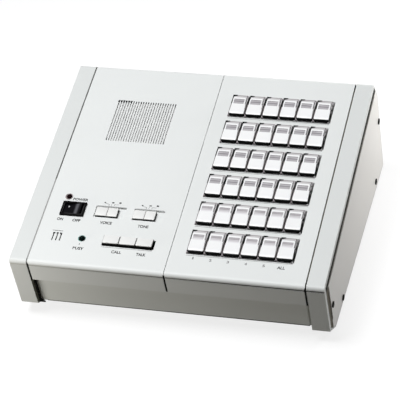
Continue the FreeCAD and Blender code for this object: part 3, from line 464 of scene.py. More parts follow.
# Values that several finishes share.
SPRAYED = {"roughness": 0.42, "grain": 1500.0, "bump": 0.2, "Specular_IOR_Level": 0.35}
# Values for the dark strips of painted shade laid in grooves, seams and gaps.
SHADE_STRIP = {"roughness": 0.8, "tone": 0.1, "cloud": 80.0, "bump": 0.3}
FILLER = {"roughness": 0.6, "tone": 0.05}
MOULDED = {"cloud": 90.0, "bump": 0.05}
LENS = {"roughness": 0.13, "tone": 0.05, "cloud": 90.0, "bump": 0.02}
RING = {"roughness": 0.35, "tone": 0.05, "cloud": 90.0, "bump": 0.02, "Specular_IOR_Level": 0.15}
PAPER = {"roughness": 0.5, "tone": 0.2, "cloud": 110.0, "Coat_Weight": 0.3, "Coat_Roughness": 0.06}
PRINT = {"roughness": 0.55, "tone": 0.15, "cloud": 300.0}
BLACK = (0.003, 0.003, 0.003)

PANEL_PAINT = finish("panel_paint", (0.76, 0.775, 0.765), tone=0.012, cloud=14.0, **SPRAYED)
CHEEK_PAINT = finish("cheek_paint", (0.69, 0.705, 0.695), tone=0.015, cloud=12.0, **SPRAYED)
TRAY_PAINT = finish("tray_paint", (0.72, 0.735, 0.71), roughness=0.36, cloud=14.0, grain=1500.0, bump=0.2)
PLATE_PAINT = finish("plate_paint", (0.75, 0.735, 0.71), roughness=0.34, cloud=10.0, grain=1200.0, bump=0.2)
KEY_WHITE = finish("key_white", (0.90, 0.90, 0.90), roughness=0.22, tone=0.01, grain=900.0, bump=0.05)
KEY_CREAM = finish("key_cream", (0.79, 0.79, 0.775), roughness=0.3, grain=900.0, bump=0.05)
KEY_POST = finish("key_post", (0.40, 0.35, 0.37), roughness=0.25, tone=0.1, **MOULDED)
KEY_CLEAR = finish("key_clear", (0.58, 0.56, 0.57), roughness=0.12, tone=0.06, Coat_Weight=0.5,
                   Coat_Roughness=0.05, **MOULDED)
KEY_SMOKE = finish("key_smoke", (0.26, 0.24, 0.24), roughness=0.3, tone=0.12, **MOULDED)
KEY_BLACK = finish("key_black", BLACK, tone=0.05, bump=0.05, Specular_IOR_Level=0.03)
SWITCH_BLACK = finish("switch_black", BLACK, roughness=0.35, tone=0.05, grain=2500.0, bump=0.12,
                      Specular_IOR_Level=0.03)
# Dark grey for painted highlight lines on the black bezel and painted shade in the grille's slot ends.
HIGHLIGHT_AND_SHADE_GREY = finish("highlight_and_shade_grey", (0.035, 0.035, 0.036), tone=0.2, cloud=200.0, Specular_IOR_Level=0.1)
ROCKER_BLACK = finish("rocker_black", (0.003, 0.003, 0.004), roughness=0.3, tone=0.05, grain=2500.0,
                      bump=0.05, Specular_IOR_Level=0.03)
# Painted shade: black and olive strips stand in for the shadow in grooves, seams and gaps.
SHADE_STRIP_BLACK = finish("shade_strip_black", (0.010, 0.011, 0.010), Specular_IOR_Level=0.08, **SHADE_STRIP)
SHADE_STRIP_OLIVE = finish("shade_strip_olive", (0.20, 0.185, 0.155), Specular_IOR_Level=0.1, **SHADE_STRIP)
SEAM_GREY = finish("seam_grey", (0.50, 0.50, 0.49), **FILLER)
# Painted shade in the left seam: a lighter grey in front and a darker one behind.
SEAM_FILL = finish("seam_fill", (0.38, 0.38, 0.375), **FILLER)
SEAM_SHADE = finish("seam_shade", (0.11, 0.11, 0.11), **FILLER)
LABEL_PAPER = finish("label_paper", (0.46, 0.44, 0.46), **PAPER)
LABEL_FADED = finish("label_faded", (0.40, 0.38, 0.40), **PAPER)
# The ink serves for print and also for painted shade at the microphone slot ends.
INK_AND_SHADE = finish("ink", (0.008, 0.008, 0.009), Specular_IOR_Level=0.2, **PRINT)
# The grey ink serves for faint printed lines and also for painted shade lines.
INK_AND_SHADE_GREY = finish("ink_and_shade_grey", (0.22, 0.22, 0.22), **PRINT)
LAMP_RED = finish("lamp_red", (0.004, 0.001, 0.001), Specular_IOR_Level=0.03,
                  Specular_Tint=(1.0, 0.5, 0.55, 1.0), **LENS)
LAMP_GREEN = finish("lamp_green", (0.0005, 0.001, 0.001), Specular_IOR_Level=0.04,
                    Specular_Tint=(0.4, 1.0, 0.85, 1.0), **LENS)
RING_RED = finish("ring_red", (0.34, 0.29, 0.29), **RING)
RING_GREEN = finish("ring_green", (0.22, 0.40, 0.36), **RING)
SCREW_BLACK = finish("screw_black", (0.002, 0.002, 0.002), tone=0.1, cloud=200.0, Specular_IOR_Level=0.03)
CLOTH = finish("grille_cloth", (0.64, 0.62, 0.62), roughness=0.9, tone=0.1, cloud=40.0, bump=0.4)
RUBBER = finish("foot_rubber", (0.02, 0.02, 0.02), roughness=0.8, tone=0.08, bump=0.3,
                Specular_IOR_Level=0.2)
BOARD_GREEN = finish("board_green", (0.03, 0.13, 0.05), tone=0.06, cloud=30.0)
CORE_STEEL = finish("core_steel", (0.25, 0.22, 0.20), roughness=0.5, tone=0.1, Metallic=1.0)
# Painted shade for the side plates just below their grooves.
PLATE_SHADE_GREY = finish("plate_shade_grey", (0.42, 0.41, 0.39), roughness=0.6, tone=0.1)
HEM_SHADE = finish("hem_shade", (0.16, 0.16, 0.145), roughness=0.7, tone=0.1)
# Painted shade, as the black and olive strips above.
SHADE_STRIP_DARK = finish("shade_strip_dark", (0.06, 0.058, 0.05), Specular_IOR_Level=0.1, **SHADE_STRIP)
SWAGE_SHADE = finish("swage_shade", (0.5, 0.5, 0.48), roughness=0.7, tone=0.05)
WHITE_DOT = finish("white_dot", (0.8, 0.8, 0.8), tone=0.05, cloud=200.0)
CHEEK_INSIDE = 120.1
# Painted shade: the cheeks' inner walls are dark, for the shadow in the recess beside the tray.
paint_inside_shade(CHEEK_PAINT, (0.13, 0.13, 0.10), CHEEK_INSIDE)
line_label(LABEL_PAPER, (0.13, 0.12, 0.13), (0.40, 0.38, 0.40), 2.0)
line_label(LABEL_FADED, (0.24, 0.21, 0.22), (0.78, 0.76, 0.78), 3.0)
# Painted shade: the hem line and the pressed groove darken from left to right, as the light falls off
# across the front.
paint_shade_across(HEM_SHADE, [(-120, 0.30), (-40, 0.16), (40, 0.08), (120, 0.04)])
paint_shade_across(SWAGE_SHADE, [(-135, 0.62), (-60, 0.40), (0, 0.20), (70, 0.07), (119, 0.02), (121, 0.01)])


def dress(paint, *names):
    """Give CAD nodes their finish."""
    for name in names:
        materials = nodes[name].data.materials
        for number in range(len(materials)):
            materials[number] = paint
        if not len(materials):
            materials.append(paint)


dress(PANEL_PAINT, "left_panel", "right_panel")
dress(CHEEK_PAINT, "left_cheek", "right_cheek")
dress(TRAY_PAINT, "base_tray")
dress(PLATE_PAINT, "left_side_plate", "right_side_plate")
dress(SWITCH_BLACK, "power_switch_housing", "station_switches", "rear_terminals", "speaker")
dress(BOARD_GREEN, "station_board", "control_board")
dress(RUBBER, "rubber_feet")
dress(CORE_STEEL, "transformer")


# ---------------- station keys

KEY_WIDTH = 14.4
KEY_LENGTH = 24.4
KEY_SKIRT = 2.0
KEY_TOP = 3.1
KEY_LOW = -0.4
KEY_REAR = 23.2
CORE_TOP = 2.55
PLATE_LEFT = 0.75
PLATE_RIGHT = 13.85
PLATE_FRONT = 1.4
PLATE_REAR = 12.8
WINDOW_LEFT = 1.15
WINDOW_RIGHT = 12.5
LABEL_LEFT = 2.2
LABEL_RIGHT = 11.5
LABEL_REAR = 18.3
FRAME_REAR = 20.2
FRAME_LOW = 2.3
FRAME_TOP = 2.95
COLUMN_LEFT = 12.6
COLUMN_RIGHT = 13.9
RIM_RIGHT = 13.6
SIDE_REAR = 15.8
SIDE_LOW = -1.8
SIDE_TOP = 2.62
SIDE_LEFT = KEY_WIDTH - 0.25
SIDE_RIGHT = SIDE_LEFT + 0.1
FADED_ROWS = 2

# The plain blocks round a key's plate and label: name, low corner, high corner, finish.
KEY_TRIM = (
    ("ledge", (0.15, 1.6, 1.8), (0.8, PLATE_REAR, 2.6), KEY_SMOKE),
    ("column", (COLUMN_LEFT, PLATE_REAR, 2.2), (COLUMN_RIGHT, KEY_REAR - 0.7, 2.8), KEY_CLEAR),
    ("groove", (12.95, PLATE_REAR, 2.7), (13.5, KEY_REAR - 0.7, 2.82), KEY_BLACK),
    # The corner and the arm are painted shade: black at the rear-left corner of the key.
    ("corner", (0.25, PLATE_REAR + 0.6, FRAME_LOW), (1.1, KEY_REAR, FRAME_TOP), KEY_BLACK),
    ("arm", (0.3, KEY_REAR - 1.9, FRAME_LOW), (4.2, KEY_REAR, FRAME_TOP), KEY_BLACK),
    ("rim", (1.0, FRAME_REAR + 0.1, 2.2), (RIM_RIGHT, KEY_REAR - 0.1, 2.75), KEY_CLEAR),
    ("line", (3.6, KEY_REAR - 1.0, 2.7), (RIM_RIGHT, KEY_REAR - 0.4, 2.8), KEY_SMOKE),
    ("clip", (0.9, 0.0, KEY_LOW), (2.0, 0.9, 1.9), KEY_CLEAR),
    ("post", (-0.2, 0.0, KEY_LOW), (0.62, 1.7, 2.1), KEY_POST),
    ("clear", (13.8, SIDE_REAR, SIDE_LOW), (SIDE_LEFT + 0.15, KEY_REAR, SIDE_TOP), KEY_CLEAR),
)
SIDE_TRIM = (
    ("side", (SIDE_LEFT - 0.5, 1.5, SIDE_LOW), (SIDE_RIGHT, SIDE_REAR, SIDE_TOP), KEY_SMOKE),
)
END_TRIM = (
    ("side", (SIDE_LEFT, 1.2, -0.6), (SIDE_RIGHT, SIDE_REAR, 2.35), KEY_BLACK),
    ("catch", (SIDE_LEFT - 0.1, 9.6, -0.6), (SIDE_LEFT + 0.25, 10.8, 2.4), KEY_CLEAR),
    ("stop", (SIDE_LEFT - 1.0, 18.5, 1.0), (SIDE_RIGHT, 19.5, 2.66), KEY_BLACK),
)


def map_key(piece, low, high):
    """Lay the piece's own map over a rectangle of the key, seen from above."""
    activate(piece)
    layer = piece.data.uv_layers.new(name="key_map")
    for corner in piece.data.loops:
        place = piece.data.vertices[corner.vertex_index].co / MM
        layer.data[corner.index].uv = ((place.x - low[0]) / (high[0] - low[0]),
                                       (place.y - low[1]) / (high[1] - low[1]))


def make_station_key(paper, end_of_row):
    """A dark body with a white touch plate, and a label behind a clear window above it."""
    skirt = block("key", (0, 0, -KEY_SKIRT), (KEY_WIDTH, KEY_LENGTH, -0.3), KEY_CLEAR)
    core_side = KEY_WIDTH - (1.2 if end_of_row else 0.2)
    core = block("core", (0.15, 0.15, KEY_LOW), (core_side, KEY_LENGTH - 0.3, CORE_TOP), KEY_BLACK)
    core = round_edges(core, lambda edge: upright(edge) and middle(edge).y < 1 * MM, 1.0, 1)
    core = move_top(core, (0, -0.7, 0), (0.99, 0.93, 1))
    core = round_edges(core, above(CORE_TOP - 0.05), 0.15, 2)
    plate = block("plate", (PLATE_LEFT, PLATE_FRONT, 2.45), (PLATE_RIGHT, PLATE_REAR, KEY_TOP), KEY_WHITE)
    plate = nudge(plate, lambda place: place.y < 2 and place.z > 3, (0, 0.8, 0))
    plate = nudge(plate, lambda place: place.y > 10 and place.x > KEY_WIDTH / 2, (-0.5, 0, 0))
    plate = nudge(plate, lambda place: place.y > 10 and place.x < KEY_WIDTH / 2, (0.3, 0, 0))
    plate = round_edges(plate, lambda edge: upright(edge) and middle(edge).y < 2 * MM, 0.6)
    plate = round_edges(plate, lambda edge: middle(edge).z > 3 * MM and middle(edge).y < 2.4 * MM, 0.7, 4)
    window = block("window", (WINDOW_LEFT, PLATE_REAR - 0.3, FRAME_LOW),
                   (WINDOW_RIGHT, FRAME_REAR, KEY_TOP - 0.02), KEY_WHITE)
    window = round_edges(window, lambda edge: upright(edge) and middle(edge).y > 19 * MM, 0.9)
    label = block("label", (LABEL_LEFT, PLATE_REAR, 2.9), (LABEL_RIGHT, LABEL_REAR, KEY_TOP), paper)
    map_key(label, (LABEL_LEFT, PLATE_REAR), (LABEL_RIGHT, LABEL_REAR))
    trim = {entry[0]: block(*entry) for entry in KEY_TRIM + (END_TRIM if end_of_row else SIDE_TRIM)}
    nudge(trim["arm"], lambda place: place.x > 3 and place.y < KEY_REAR - 1, (0, 0.9, 0))
    move_top(trim["clip"], (-0.7, 0.45, 0), (0.4, 0.6, 1))
    round_edges(trim["post"], above(2), 0.15, 2)
    if end_of_row:
        nudge(trim["clear"], lambda place: place.z > 0 and place.x > 14, (-0.9, 0, 0))
        nudge(trim["catch"], lambda place: place.z > 0, (0, 0.8, 0))
    return smooth(merge("station_key", [skirt, core, plate, window, label, *trim.values()]), 30)


def place_like(piece, node):
    """Put a piece whose low corner is its origin on the node's low corner."""
    return lay_on_panel(piece, *flat_box(node)[0].xy)


station_keys = sorted(name for name in nodes if name.startswith("station_key_"))
last_column = max(name.rsplit("_", 1)[1] for name in station_keys)
masters = {(paper.name, end): make_station_key(paper, end)
           for paper in (LABEL_FADED, LABEL_PAPER) for end in (False, True)}
for node in station_keys:
    row = int(node.split("_")[2].lstrip("r"))
    paper = LABEL_FADED if row <= FADED_ROWS else LABEL_PAPER
    key = copy_of(masters[paper.name, node.endswith(last_column)], node.replace("station_key", "key"))
    place_like(key, node)
    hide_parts(node)
    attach(key, node)
for master in masters.values():
    bpy.data.objects.remove(master)


# ---------------- call and talk keys, slide knobs

BANK_KEY_WIDTH = 14.3
BANK_KEY_LENGTH = 8.9
CAP_REAR = BANK_KEY_LENGTH - 0.1


def make_bank_key():
    """A cream cap on a black body, with a grey ledge at its left."""
    width = BANK_KEY_WIDTH
    body = block("bank_key", (0, 0, -KEY_SKIRT), (width, BANK_KEY_LENGTH, 2.0), KEY_BLACK)
    side = block("side", (width - 0.1, 0.6, SIDE_LOW), (width, BANK_KEY_LENGTH - 0.3, 1.9), KEY_SMOKE)
    ledge = block("ledge", (0.0, 0.8, 1.5), (0.5, CAP_REAR, 2.9), SEAM_GREY)
    cap = block("cap", (0.4, 0.7, 1.9), (width - 0.35, CAP_REAR, 3.0), KEY_CREAM)
    cap = round_edges(cap, upright, 0.4, 2)
    cap = round_edges(cap, above(2.9), 0.35)
    return merge("bank_key", [body, side, ledge, cap])


master = smooth(make_bank_key(), 30)
for node in ("call_key_left", "call_key_right", "talk_key"):
    key = copy_of(master, f"{node}_cap")
    place_like(key, node)
    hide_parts(node)
    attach(key, node)
bpy.data.objects.remove(master)


SHUTTER_WIDTH = 28.7
SHUTTER_LENGTH = 14.0
SHUTTER_TOP = -1.4
KNOB_FRONT = 1.3
KNOB_WIDTH = 19.2
KNOB_REAR = 10.6
KNOB_GROOVE = 10.2
KNOB_BASE = 1.2


def make_slide_knob(left):
    """Drawn from the shutter's low corner: the knob, its groove, and the shutter under it, with grey
    painted shade along the shutter's rear and at the knob's rear and left sides.
    """
    front, right, rear = KNOB_FRONT, left + KNOB_WIDTH, KNOB_REAR
    groove = left + KNOB_GROOVE
    shutter = block("shutter", (0, 0, -2.2), (SHUTTER_WIDTH, SHUTTER_LENGTH, SHUTTER_TOP), PANEL_PAINT)
    # Painted shade: a grey line on the shutter along the shaded rear wall of the window.
    rear_shade = block("rear_shade", (0.3, 12.5, SHUTTER_TOP - 0.1), (SHUTTER_WIDTH - 0.3, 13.25, SHUTTER_TOP + 0.04),
                 INK_AND_SHADE_GREY)
    base = block("base", (left, front, -1.5), (right, rear, KNOB_BASE), KEY_BLACK)
    sides = [
        # Painted shade: grey strips at the knob's rear and left sides, for the shaded walls of the window.
        block("rear", (left, rear - 0.1, -1.0), (right, rear + 0.3, KNOB_BASE), SEAM_GREY),
        block("left", (left - 0.25, front + 0.6, -1.0), (left + 0.1, rear + 0.3, KNOB_BASE), SEAM_GREY),
        block("floor", (groove - 0.4, front + 0.2, 1.1), (groove + 0.4, rear, 1.4), KEY_SMOKE),
    ]
    halves = []
    for start, end in ((left, groove - 0.25), (groove + 0.25, right - 0.05)):
        half = block("half", (start, front + 0.25, 1.1), (end, rear, 2.0), KEY_CREAM)
        half = round_edges(half, above(1.9), 0.25, 2)
        halves.append(half)
    return smooth(merge("slide_knob", [shutter, rear_shade, base] + sides + halves), 30)


KNOB_LEFT = {"voice_slide_knob": 2.5, "tone_slide_knob": 1.75}
for node, left in KNOB_LEFT.items():
    knob = make_slide_knob(left)
    knob.name = f"{node}_cap"
    place_like(knob, node)
    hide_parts(node)
    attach(knob, node)


# ---------------- printed marks

INK_LOW = 0.005
INK_HIGH = 0.02
WORD_WEIGHT = 0.034


def word(letters, x, run, height, width, ink=INK_AND_SHADE):
    """One printed word, a film of ink on the panel, fitted to its height and width."""
    deselect()
    bpy.ops.object.text_add()
    piece = bpy.context.object
    piece.data.body = letters
    piece.data.extrude = 0.001
    piece.data.offset = WORD_WEIGHT
    activate(piece)
    bpy.ops.object.convert(target="MESH")
    piece = bpy.context.object
    piece.data.materials.clear()
    piece.data.materials.append(ink)
    low, high = box_of([vertex.co for vertex in piece.data.vertices])
    scale = Vector((width / (high.x - low.x), height / (high.y - low.y),
                    (INK_HIGH - INK_LOW) / (high.z - low.z))) * MM
    corner = Vector((x - width / 2, run - height / 2, INK_LOW)) * MM
    piece.scale = scale
    piece.location = corner - scale * low
    apply_place(piece)
    return piece


def stroke(x, run, far_x, far_run, width, ink=INK_AND_SHADE):
    """A printed line between two places."""
    way = Vector((far_x - x, far_run - run, 0))
    piece = block("stroke", (-way.length / 2 - width / 2, -width / 2, INK_LOW),
                  (way.length / 2 + width / 2, width / 2, INK_HIGH), ink)
    piece.rotation_euler.z = math.atan2(way.y, way.x)
    piece.location = Vector((x + far_x, run + far_run, 0)) / 2 * MM
    apply_place(piece)
    return piece


# Three marks over a slide switch, with a faint line from each to its place on the slot:
# x and run of both ends from the left end of the marks, width and ink.
LEVEL_STROKES = (
    (0.7, 3.7, 1.2, 3.3, 1.0, INK_AND_SHADE),
    (2.0, 2.7, 4.9, 1.9, 0.4, INK_AND_SHADE_GREY),
    (4.9, 1.9, 4.9, 0.3, 0.4, INK_AND_SHADE_GREY),
    (7.5, 3.9, 8.3, 3.9, 1.2, INK_AND_SHADE),
    (7.2, 2.7, 7.0, 0.3, 0.35, INK_AND_SHADE_GREY),
    (14.0, 4.3, 14.4, 4.3, 1.5, INK_AND_SHADE),
    (13.4, 2.1, 9.8, 2.1, 0.4, INK_AND_SHADE_GREY),
    (9.8, 2.1, 9.6, 0.9, 0.4, INK_AND_SHADE_GREY),
)
# Printed words: letters, x and run of the middle, height and width.
LEFT_WORDS = [
    ("POWER", -91.1, 71.8, 2.8, 13.5),
    ("ON", -103.4, 48.9, 2.9, 5.3),
    ("OFF", -88.7, 48.8, 2.9, 7.1),
    ("VOICE", -62.4, 48.8, 3.0, 10.5),
    ("TONE", -29.5, 48.3, 3.0, 9.4),
    ("BUSY", -78.9, 19.15, 3.0, 9.5),
    ("CALL", -45.2, 18.7, 3.0, 8.6),
    ("TALK", -23.7, 18.4, 3.0, 8.3),
]
MARK_RUN = 67.3
MARK_SHIFT = 4.1
SCALE_RUN = 66.95
SCALE_LENGTH = 25.2
MICROPHONE_LINE = (-106.0, 36.2, -97.2, 36.1, 0.5)
MICROPHONE_ROW = 33.5
MICROPHONE_SLOT_SHADES = (-104.0, -101.0, -97.95)
BUSY_MARK = (-79.1, 23.4, -79.1, 24.2, 0.6)
left_print = [word(*entry) for entry in LEFT_WORDS]
for node, left in KNOB_LEFT.items():
    start = flat_box(node)[0].x / MM + left
    for x, run, far_x, far_run, width, ink in LEVEL_STROKES:
        left_print.append(stroke(start + MARK_SHIFT + x, MARK_RUN + run,
                                 start + MARK_SHIFT + far_x, MARK_RUN + far_run, width, ink))
    left_print.append(stroke(start, SCALE_RUN, start + SCALE_LENGTH, SCALE_RUN, 0.4, INK_AND_SHADE_GREY))
left_print.append(stroke(*MICROPHONE_LINE))
left_print.append(stroke(*BUSY_MARK))
# Painted shade: three black dots of ink at the rear ends of the microphone slots.
for x in MICROPHONE_SLOT_SHADES:
    left_print.append(stroke(x - 0.25, MICROPHONE_ROW, x + 0.25, MICROPHONE_ROW, 1.5))
left_print = merge("left_panel_print", left_print)
NUMBER_PLACES = ((20.9, 19.8), (36.0, 19.1), (50.9, 18.8), (66.1, 18.6), (81.2, 18.4))
right_words = [word(str(number + 1), x, run, 2.6, 2.2 if number else 1.2, INK_AND_SHADE_GREY)
               for number, (x, run) in enumerate(NUMBER_PLACES)]
right_words.append(word("ALL", 95.9, 17.8, 2.9, 6.6))
right_print = merge("right_panel_print", right_words)
for printed in (left_print, right_print):
    lay_on_panel(printed)
    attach(printed, "case")


# ---------------- lamps

COLLAR_RADIUS = 3.4
COLLAR_LOW = -0.6
COLLAR_TOP = 0.4
COLLAR_WALL = 0.35
COLLAR_SINK = 0.5
DOME_SHIFT = (0.5, -0.4, 0)


def make_lamp(name, ring_paint, dome_paint, dome_radius):
    """A low collar with a rounded edge, and a dark glossy dome set in it."""
    collar = drum(name, COLLAR_RADIUS, COLLAR_LOW, COLLAR_TOP, ring_paint)
    collar = round_edges(collar, above(COLLAR_TOP - 0.1), 0.3)
    collar = sink_middle(collar, COLLAR_WALL, COLLAR_SINK)
    deselect()
    bpy.ops.mesh.primitive_uv_sphere_add(segments=32, ring_count=16, radius=dome_radius * MM,
                                         location=Vector(DOME_SHIFT) * MM)
    return smooth(merge(name, [collar, settle("dome", dome_paint)]))


for node, *lamp_values in (("power_lamp", RING_RED, LAMP_RED, 2.4),
                           ("busy_lamp", RING_GREEN, LAMP_GREEN, 2.8)):
    lamp = make_lamp(f"{node}_lens", *lamp_values)
    lay_on_panel(lamp, *flat_middle(node))
    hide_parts(node)
    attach(lamp, "case")


# ---------------- rocker

ROCKER_HALF = 8.0
ROCKER_CREST = 3.2
ROCKER_DIP = 0.8
ROCKER_LENGTH = 10.9
ROCKER_REST = 11.0
ROCKER_FOOT = -5.0
ROCKER_WAIST = -1.0
ROCKER_STEPS = 6
FOOT_HALF = 3.0
DOT_PLACE = (-3.8, 2.5, 0)
DOT_RADIUS = 0.62
SHEEN_MIDDLE = -91.4
SHEEN_HALF = 2.8
# Painted sheen: a soft grey band across the black rocker, right of its middle, standing in for a
# reflection.
paint_sheen_band(ROCKER_BLACK, (0.10, 0.10, 0.11), SHEEN_MIDDLE, SHEEN_HALF)


def cut_across(piece, x):
    """Cut a new ring of edges around the piece at a distance from its middle."""
    activate(piece)
    bpy.ops.object.mode_set(mode="EDIT")
    bpy.ops.mesh.select_all(action="SELECT")
    bpy.ops.mesh.bisect(plane_co=(x * MM, 0, 0), plane_no=(1, 0, 0))
    return leave(piece)


def make_rocker():
    """A paddle with a hollow top over a narrow foot, and a white dot on its left end."""
    half = ROCKER_LENGTH / 2
    paddle = block("rocker", (-ROCKER_HALF, -half, ROCKER_WAIST), (ROCKER_HALF, half, ROCKER_CREST),
                   ROCKER_BLACK)
    steps = [ROCKER_HALF * step / ROCKER_STEPS for step in range(1 - ROCKER_STEPS, ROCKER_STEPS)]
    for x in steps:
        paddle = cut_across(paddle, x)
    for x in steps:
        drop = ROCKER_DIP * (1 - (x / ROCKER_HALF) ** 2)
        paddle = nudge(paddle, lambda place: abs(place.x - x) < 0.1 and place.z > 2.9, (0, 0, -drop))
    paddle = round_edges(
        paddle, lambda edge: middle(edge).z > 2.2 * MM and abs(middle(edge).y) > 0.95 * half * MM, 0.5, 3)
    foot_half = half - 0.2
    foot = block("foot", (-FOOT_HALF, -foot_half, ROCKER_FOOT), (FOOT_HALF, foot_half, ROCKER_WAIST + 0.1),
                 ROCKER_BLACK)
    dot = drum("dot", DOT_RADIUS, 2.4, 2.72, WHITE_DOT, 24)
    dot.location = Vector(DOT_PLACE) * MM
    apply_place(dot)
    return smooth(merge("rocker", [paddle, foot, dot]))


hinge = TURN.inverted() @ Vector(joint_of("power_rocker")["pos_m"]) - PANEL_START
rocker = make_rocker()
tilt = Matrix.Rotation(-math.radians(ROCKER_REST), 4, "Y")
rocker.matrix_world = PANEL @ Matrix.Translation(hinge) @ tilt
apply_place(rocker)
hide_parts("power_rocker")
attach(rocker, "power_rocker")

WELL_WIDTH = 17.3
WELL_LENGTH = 11.3
well_x, well_run = flat_middle("power_switch_housing") / MM
bezel = flat_box("power_switch_housing")[1].z / MM
left, right = well_x - WELL_WIDTH / 2, well_x + WELL_WIDTH / 2
front, rear = well_run - WELL_LENGTH / 2, well_run + WELL_LENGTH / 2
# Painted highlight: dark grey lines on the black bezel, for the light caught by its inner bevel.
edges = [block(name, (*low, bezel - 0.3), (*high, bezel + rise), HIGHLIGHT_AND_SHADE_GREY) for name, low, high, rise in (
    ("well_edges", (right, front), (right + 0.5, rear - 0.8), 0.03),
    ("front", (left + 2, front - 0.4), (right, front), 0.02),
    ("left", (left - 0.4, front + 0.5), (left, rear - 0.5), 0.02))]
well_edges = lay_on_panel(merge("well_edges", edges))
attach(well_edges, "case")


# ---------------- painted shade in the grooves beside the side plates

LIP = 4.5
GROOVE = 7.0
SHADE_STRIP_GAP = 0.1
SHADE_STRIP_FACE = 134.7
SHADE_STRIP_BACK = 131.0
SHADE_STRIP_BOTTOM = -56.0
SHADE_STRIP_REAR = 227.6
BLACK_WIDTH = 1.2
PLATE_SHADE_FACE = 134.9
PLATE_SHADE_PROUD = 135.03
PLATE_SHADE_NEAR = 11.62
PLATE_SHADE_FAR = 13.0
PLATE_SHADE_REAR = 226.0
PLATE_SHADE_LOW = -13.4
PLATE_SHADE_BOTTOM = -53.0
RIM_FAR = 13.7


def make_shade_strip(name, side):
    """A dark strip of painted shade in the groove along the front and the top of a side plate, black near
    the lip and lighter further in.
    """
    near, far = LIP + SHADE_STRIP_GAP, LIP + GROOVE - SHADE_STRIP_GAP
    across = sorted((side * SHADE_STRIP_BACK, side * SHADE_STRIP_FACE))
    strips = []
    split = near + BLACK_WIDTH
    for start, end, paint in ((near, split, SHADE_STRIP_BLACK), (split, far, SHADE_STRIP_OLIVE)):
        front = block(name, (across[0], start, SHADE_STRIP_BOTTOM), (across[1], end, -far), paint)
        front = lean(front, SHADE_STRIP_BOTTOM)
        strips.append(nudge(front, lambda place: place.z < -50 and place.y > far - 3, (0, 0, near - far)))
    strips.append(block("corner", (across[0], near, -far), (across[1], far + 1, -near), SHADE_STRIP_BLACK))
    step = near + 0.6 * (far - near)
    for high, low, paint in ((near, step, SHADE_STRIP_BLACK), (step, far, SHADE_STRIP_DARK)):
        top = block("top", (across[0], far + 1, -low), (across[1], SHADE_STRIP_REAR, -high), paint)
        strips.append(nudge(top, lambda place: place.y > 200, (0, 0.35 * (low + high) / 2 - 1.6, 0)))
    return merge(name, strips)


for name, side in (("left_shade_strip", -1), ("right_shade_strip", 1)):
    shade_strip = make_shade_strip(name, side)
    lay_on_panel(shade_strip)
    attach(shade_strip, "case")
    # Painted shade on the side plate: a grey film below the groove, and olive and black strips along its
    # front.
    reach = sorted((side * PLATE_SHADE_FACE, side * PLATE_SHADE_PROUD))
    plate_shade = block(f"{name}_plate_shade_edge", (reach[0], 14.0, PLATE_SHADE_LOW), (reach[1], PLATE_SHADE_REAR, -PLATE_SHADE_NEAR),
                 PLATE_SHADE_GREY)
    plate_shade = nudge(plate_shade, lambda place: place.y < 20 and place.z < -12, (0, 12, 0))
    front = block("front", (reach[0], PLATE_SHADE_NEAR, PLATE_SHADE_BOTTOM), (reach[1], PLATE_SHADE_FAR, -12.5), SHADE_STRIP_OLIVE)
    rim = block("rim", (reach[0], PLATE_SHADE_FAR, PLATE_SHADE_BOTTOM + 0.5), (reach[1], RIM_FAR, -12.5), SHADE_STRIP_BLACK)
    strips = [plate_shade, lean(front, SHADE_STRIP_BOTTOM), lean(rim, SHADE_STRIP_BOTTOM)]
    plate_shade = lay_on_panel(merge(f"{name}_plate_shade_edge", strips))
    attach(plate_shade, "case")


# ---------------- painted shade behind the seams

SEAM_TOP = -2.2
SEAM_BOTTOM = -23.8
SEAM_NEAR = 1.7
SEAM_FAR = 2.7
RIB_NEAR = 0.5
RIB_PROUD = -0.14
RIB_BOTTOM = -22.55
RIB_TOP = -3.4


def make_seam_strip(name, low_x, high_x, rib_low, rib_high, rib_near):
    """A dark strip of painted shade behind a seam in the front, with a rib that stands in the seam and
    widens its shade.
    """
    strip = block(name, (low_x, SEAM_NEAR, SEAM_BOTTOM), (high_x, SEAM_FAR, SEAM_TOP), SHADE_STRIP_BLACK)
    rib = block("rib", (rib_low, rib_near, RIB_BOTTOM), (rib_high, SEAM_FAR, RIB_TOP), SHADE_STRIP_BLACK)
    return merge(name, [lean(strip, SEAM_BOTTOM), lean(rib, RIB_BOTTOM)])


for name, low_x, high_x, rib_low, rib_high, rib_near in (
        ("left_seam_strip", -119.9, -117.2, -119.5, -118.6, RIB_NEAR),
        ("middle_seam_strip", -1.6, 1.6, -0.8, 0.8, RIB_NEAR),
        ("right_seam_strip", 117.2, 119.9, 118.5, 119.9, RIB_PROUD)):
    strip = lay_on_panel(make_seam_strip(name, low_x, high_x, rib_low, rib_high, rib_near))
    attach(strip, "case")


# ---------------- painted shade in the gap at the left end of the tray

GAP_NEAR = 3.9
GAP_FAR = 5.2
GAP_LOW = -56.5
GAP_LEFT = -119.95
GAP_RIGHT = -118.7
GAP_TIP = -115.1
GAP_FLARE = 3.4


def make_gap_strip(name):
    """A dark strip of painted shade between the left cheek and the tray's round corner, wider at its foot.
    """
    strip = block(name, (GAP_LEFT, GAP_NEAR, GAP_LOW), (GAP_RIGHT, GAP_FAR, SEAM_BOTTOM), SHADE_STRIP_BLACK)
    foot = block("foot", (GAP_LEFT, GAP_NEAR, GAP_LOW - 0.6), (GAP_TIP, GAP_FAR, GAP_LOW + 3.0), SHADE_STRIP_BLACK)
    foot = nudge(foot, lambda place: place.z > GAP_LOW and place.x > -117, (-GAP_FLARE, 0, 0))
    return merge(name, [lean(strip, GAP_LOW), lean(foot, GAP_LOW)])


gap_strip = lay_on_panel(make_gap_strip("left_gap_strip"))
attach(gap_strip, "case")


# ---------------- painted shadow along the hem of the tray

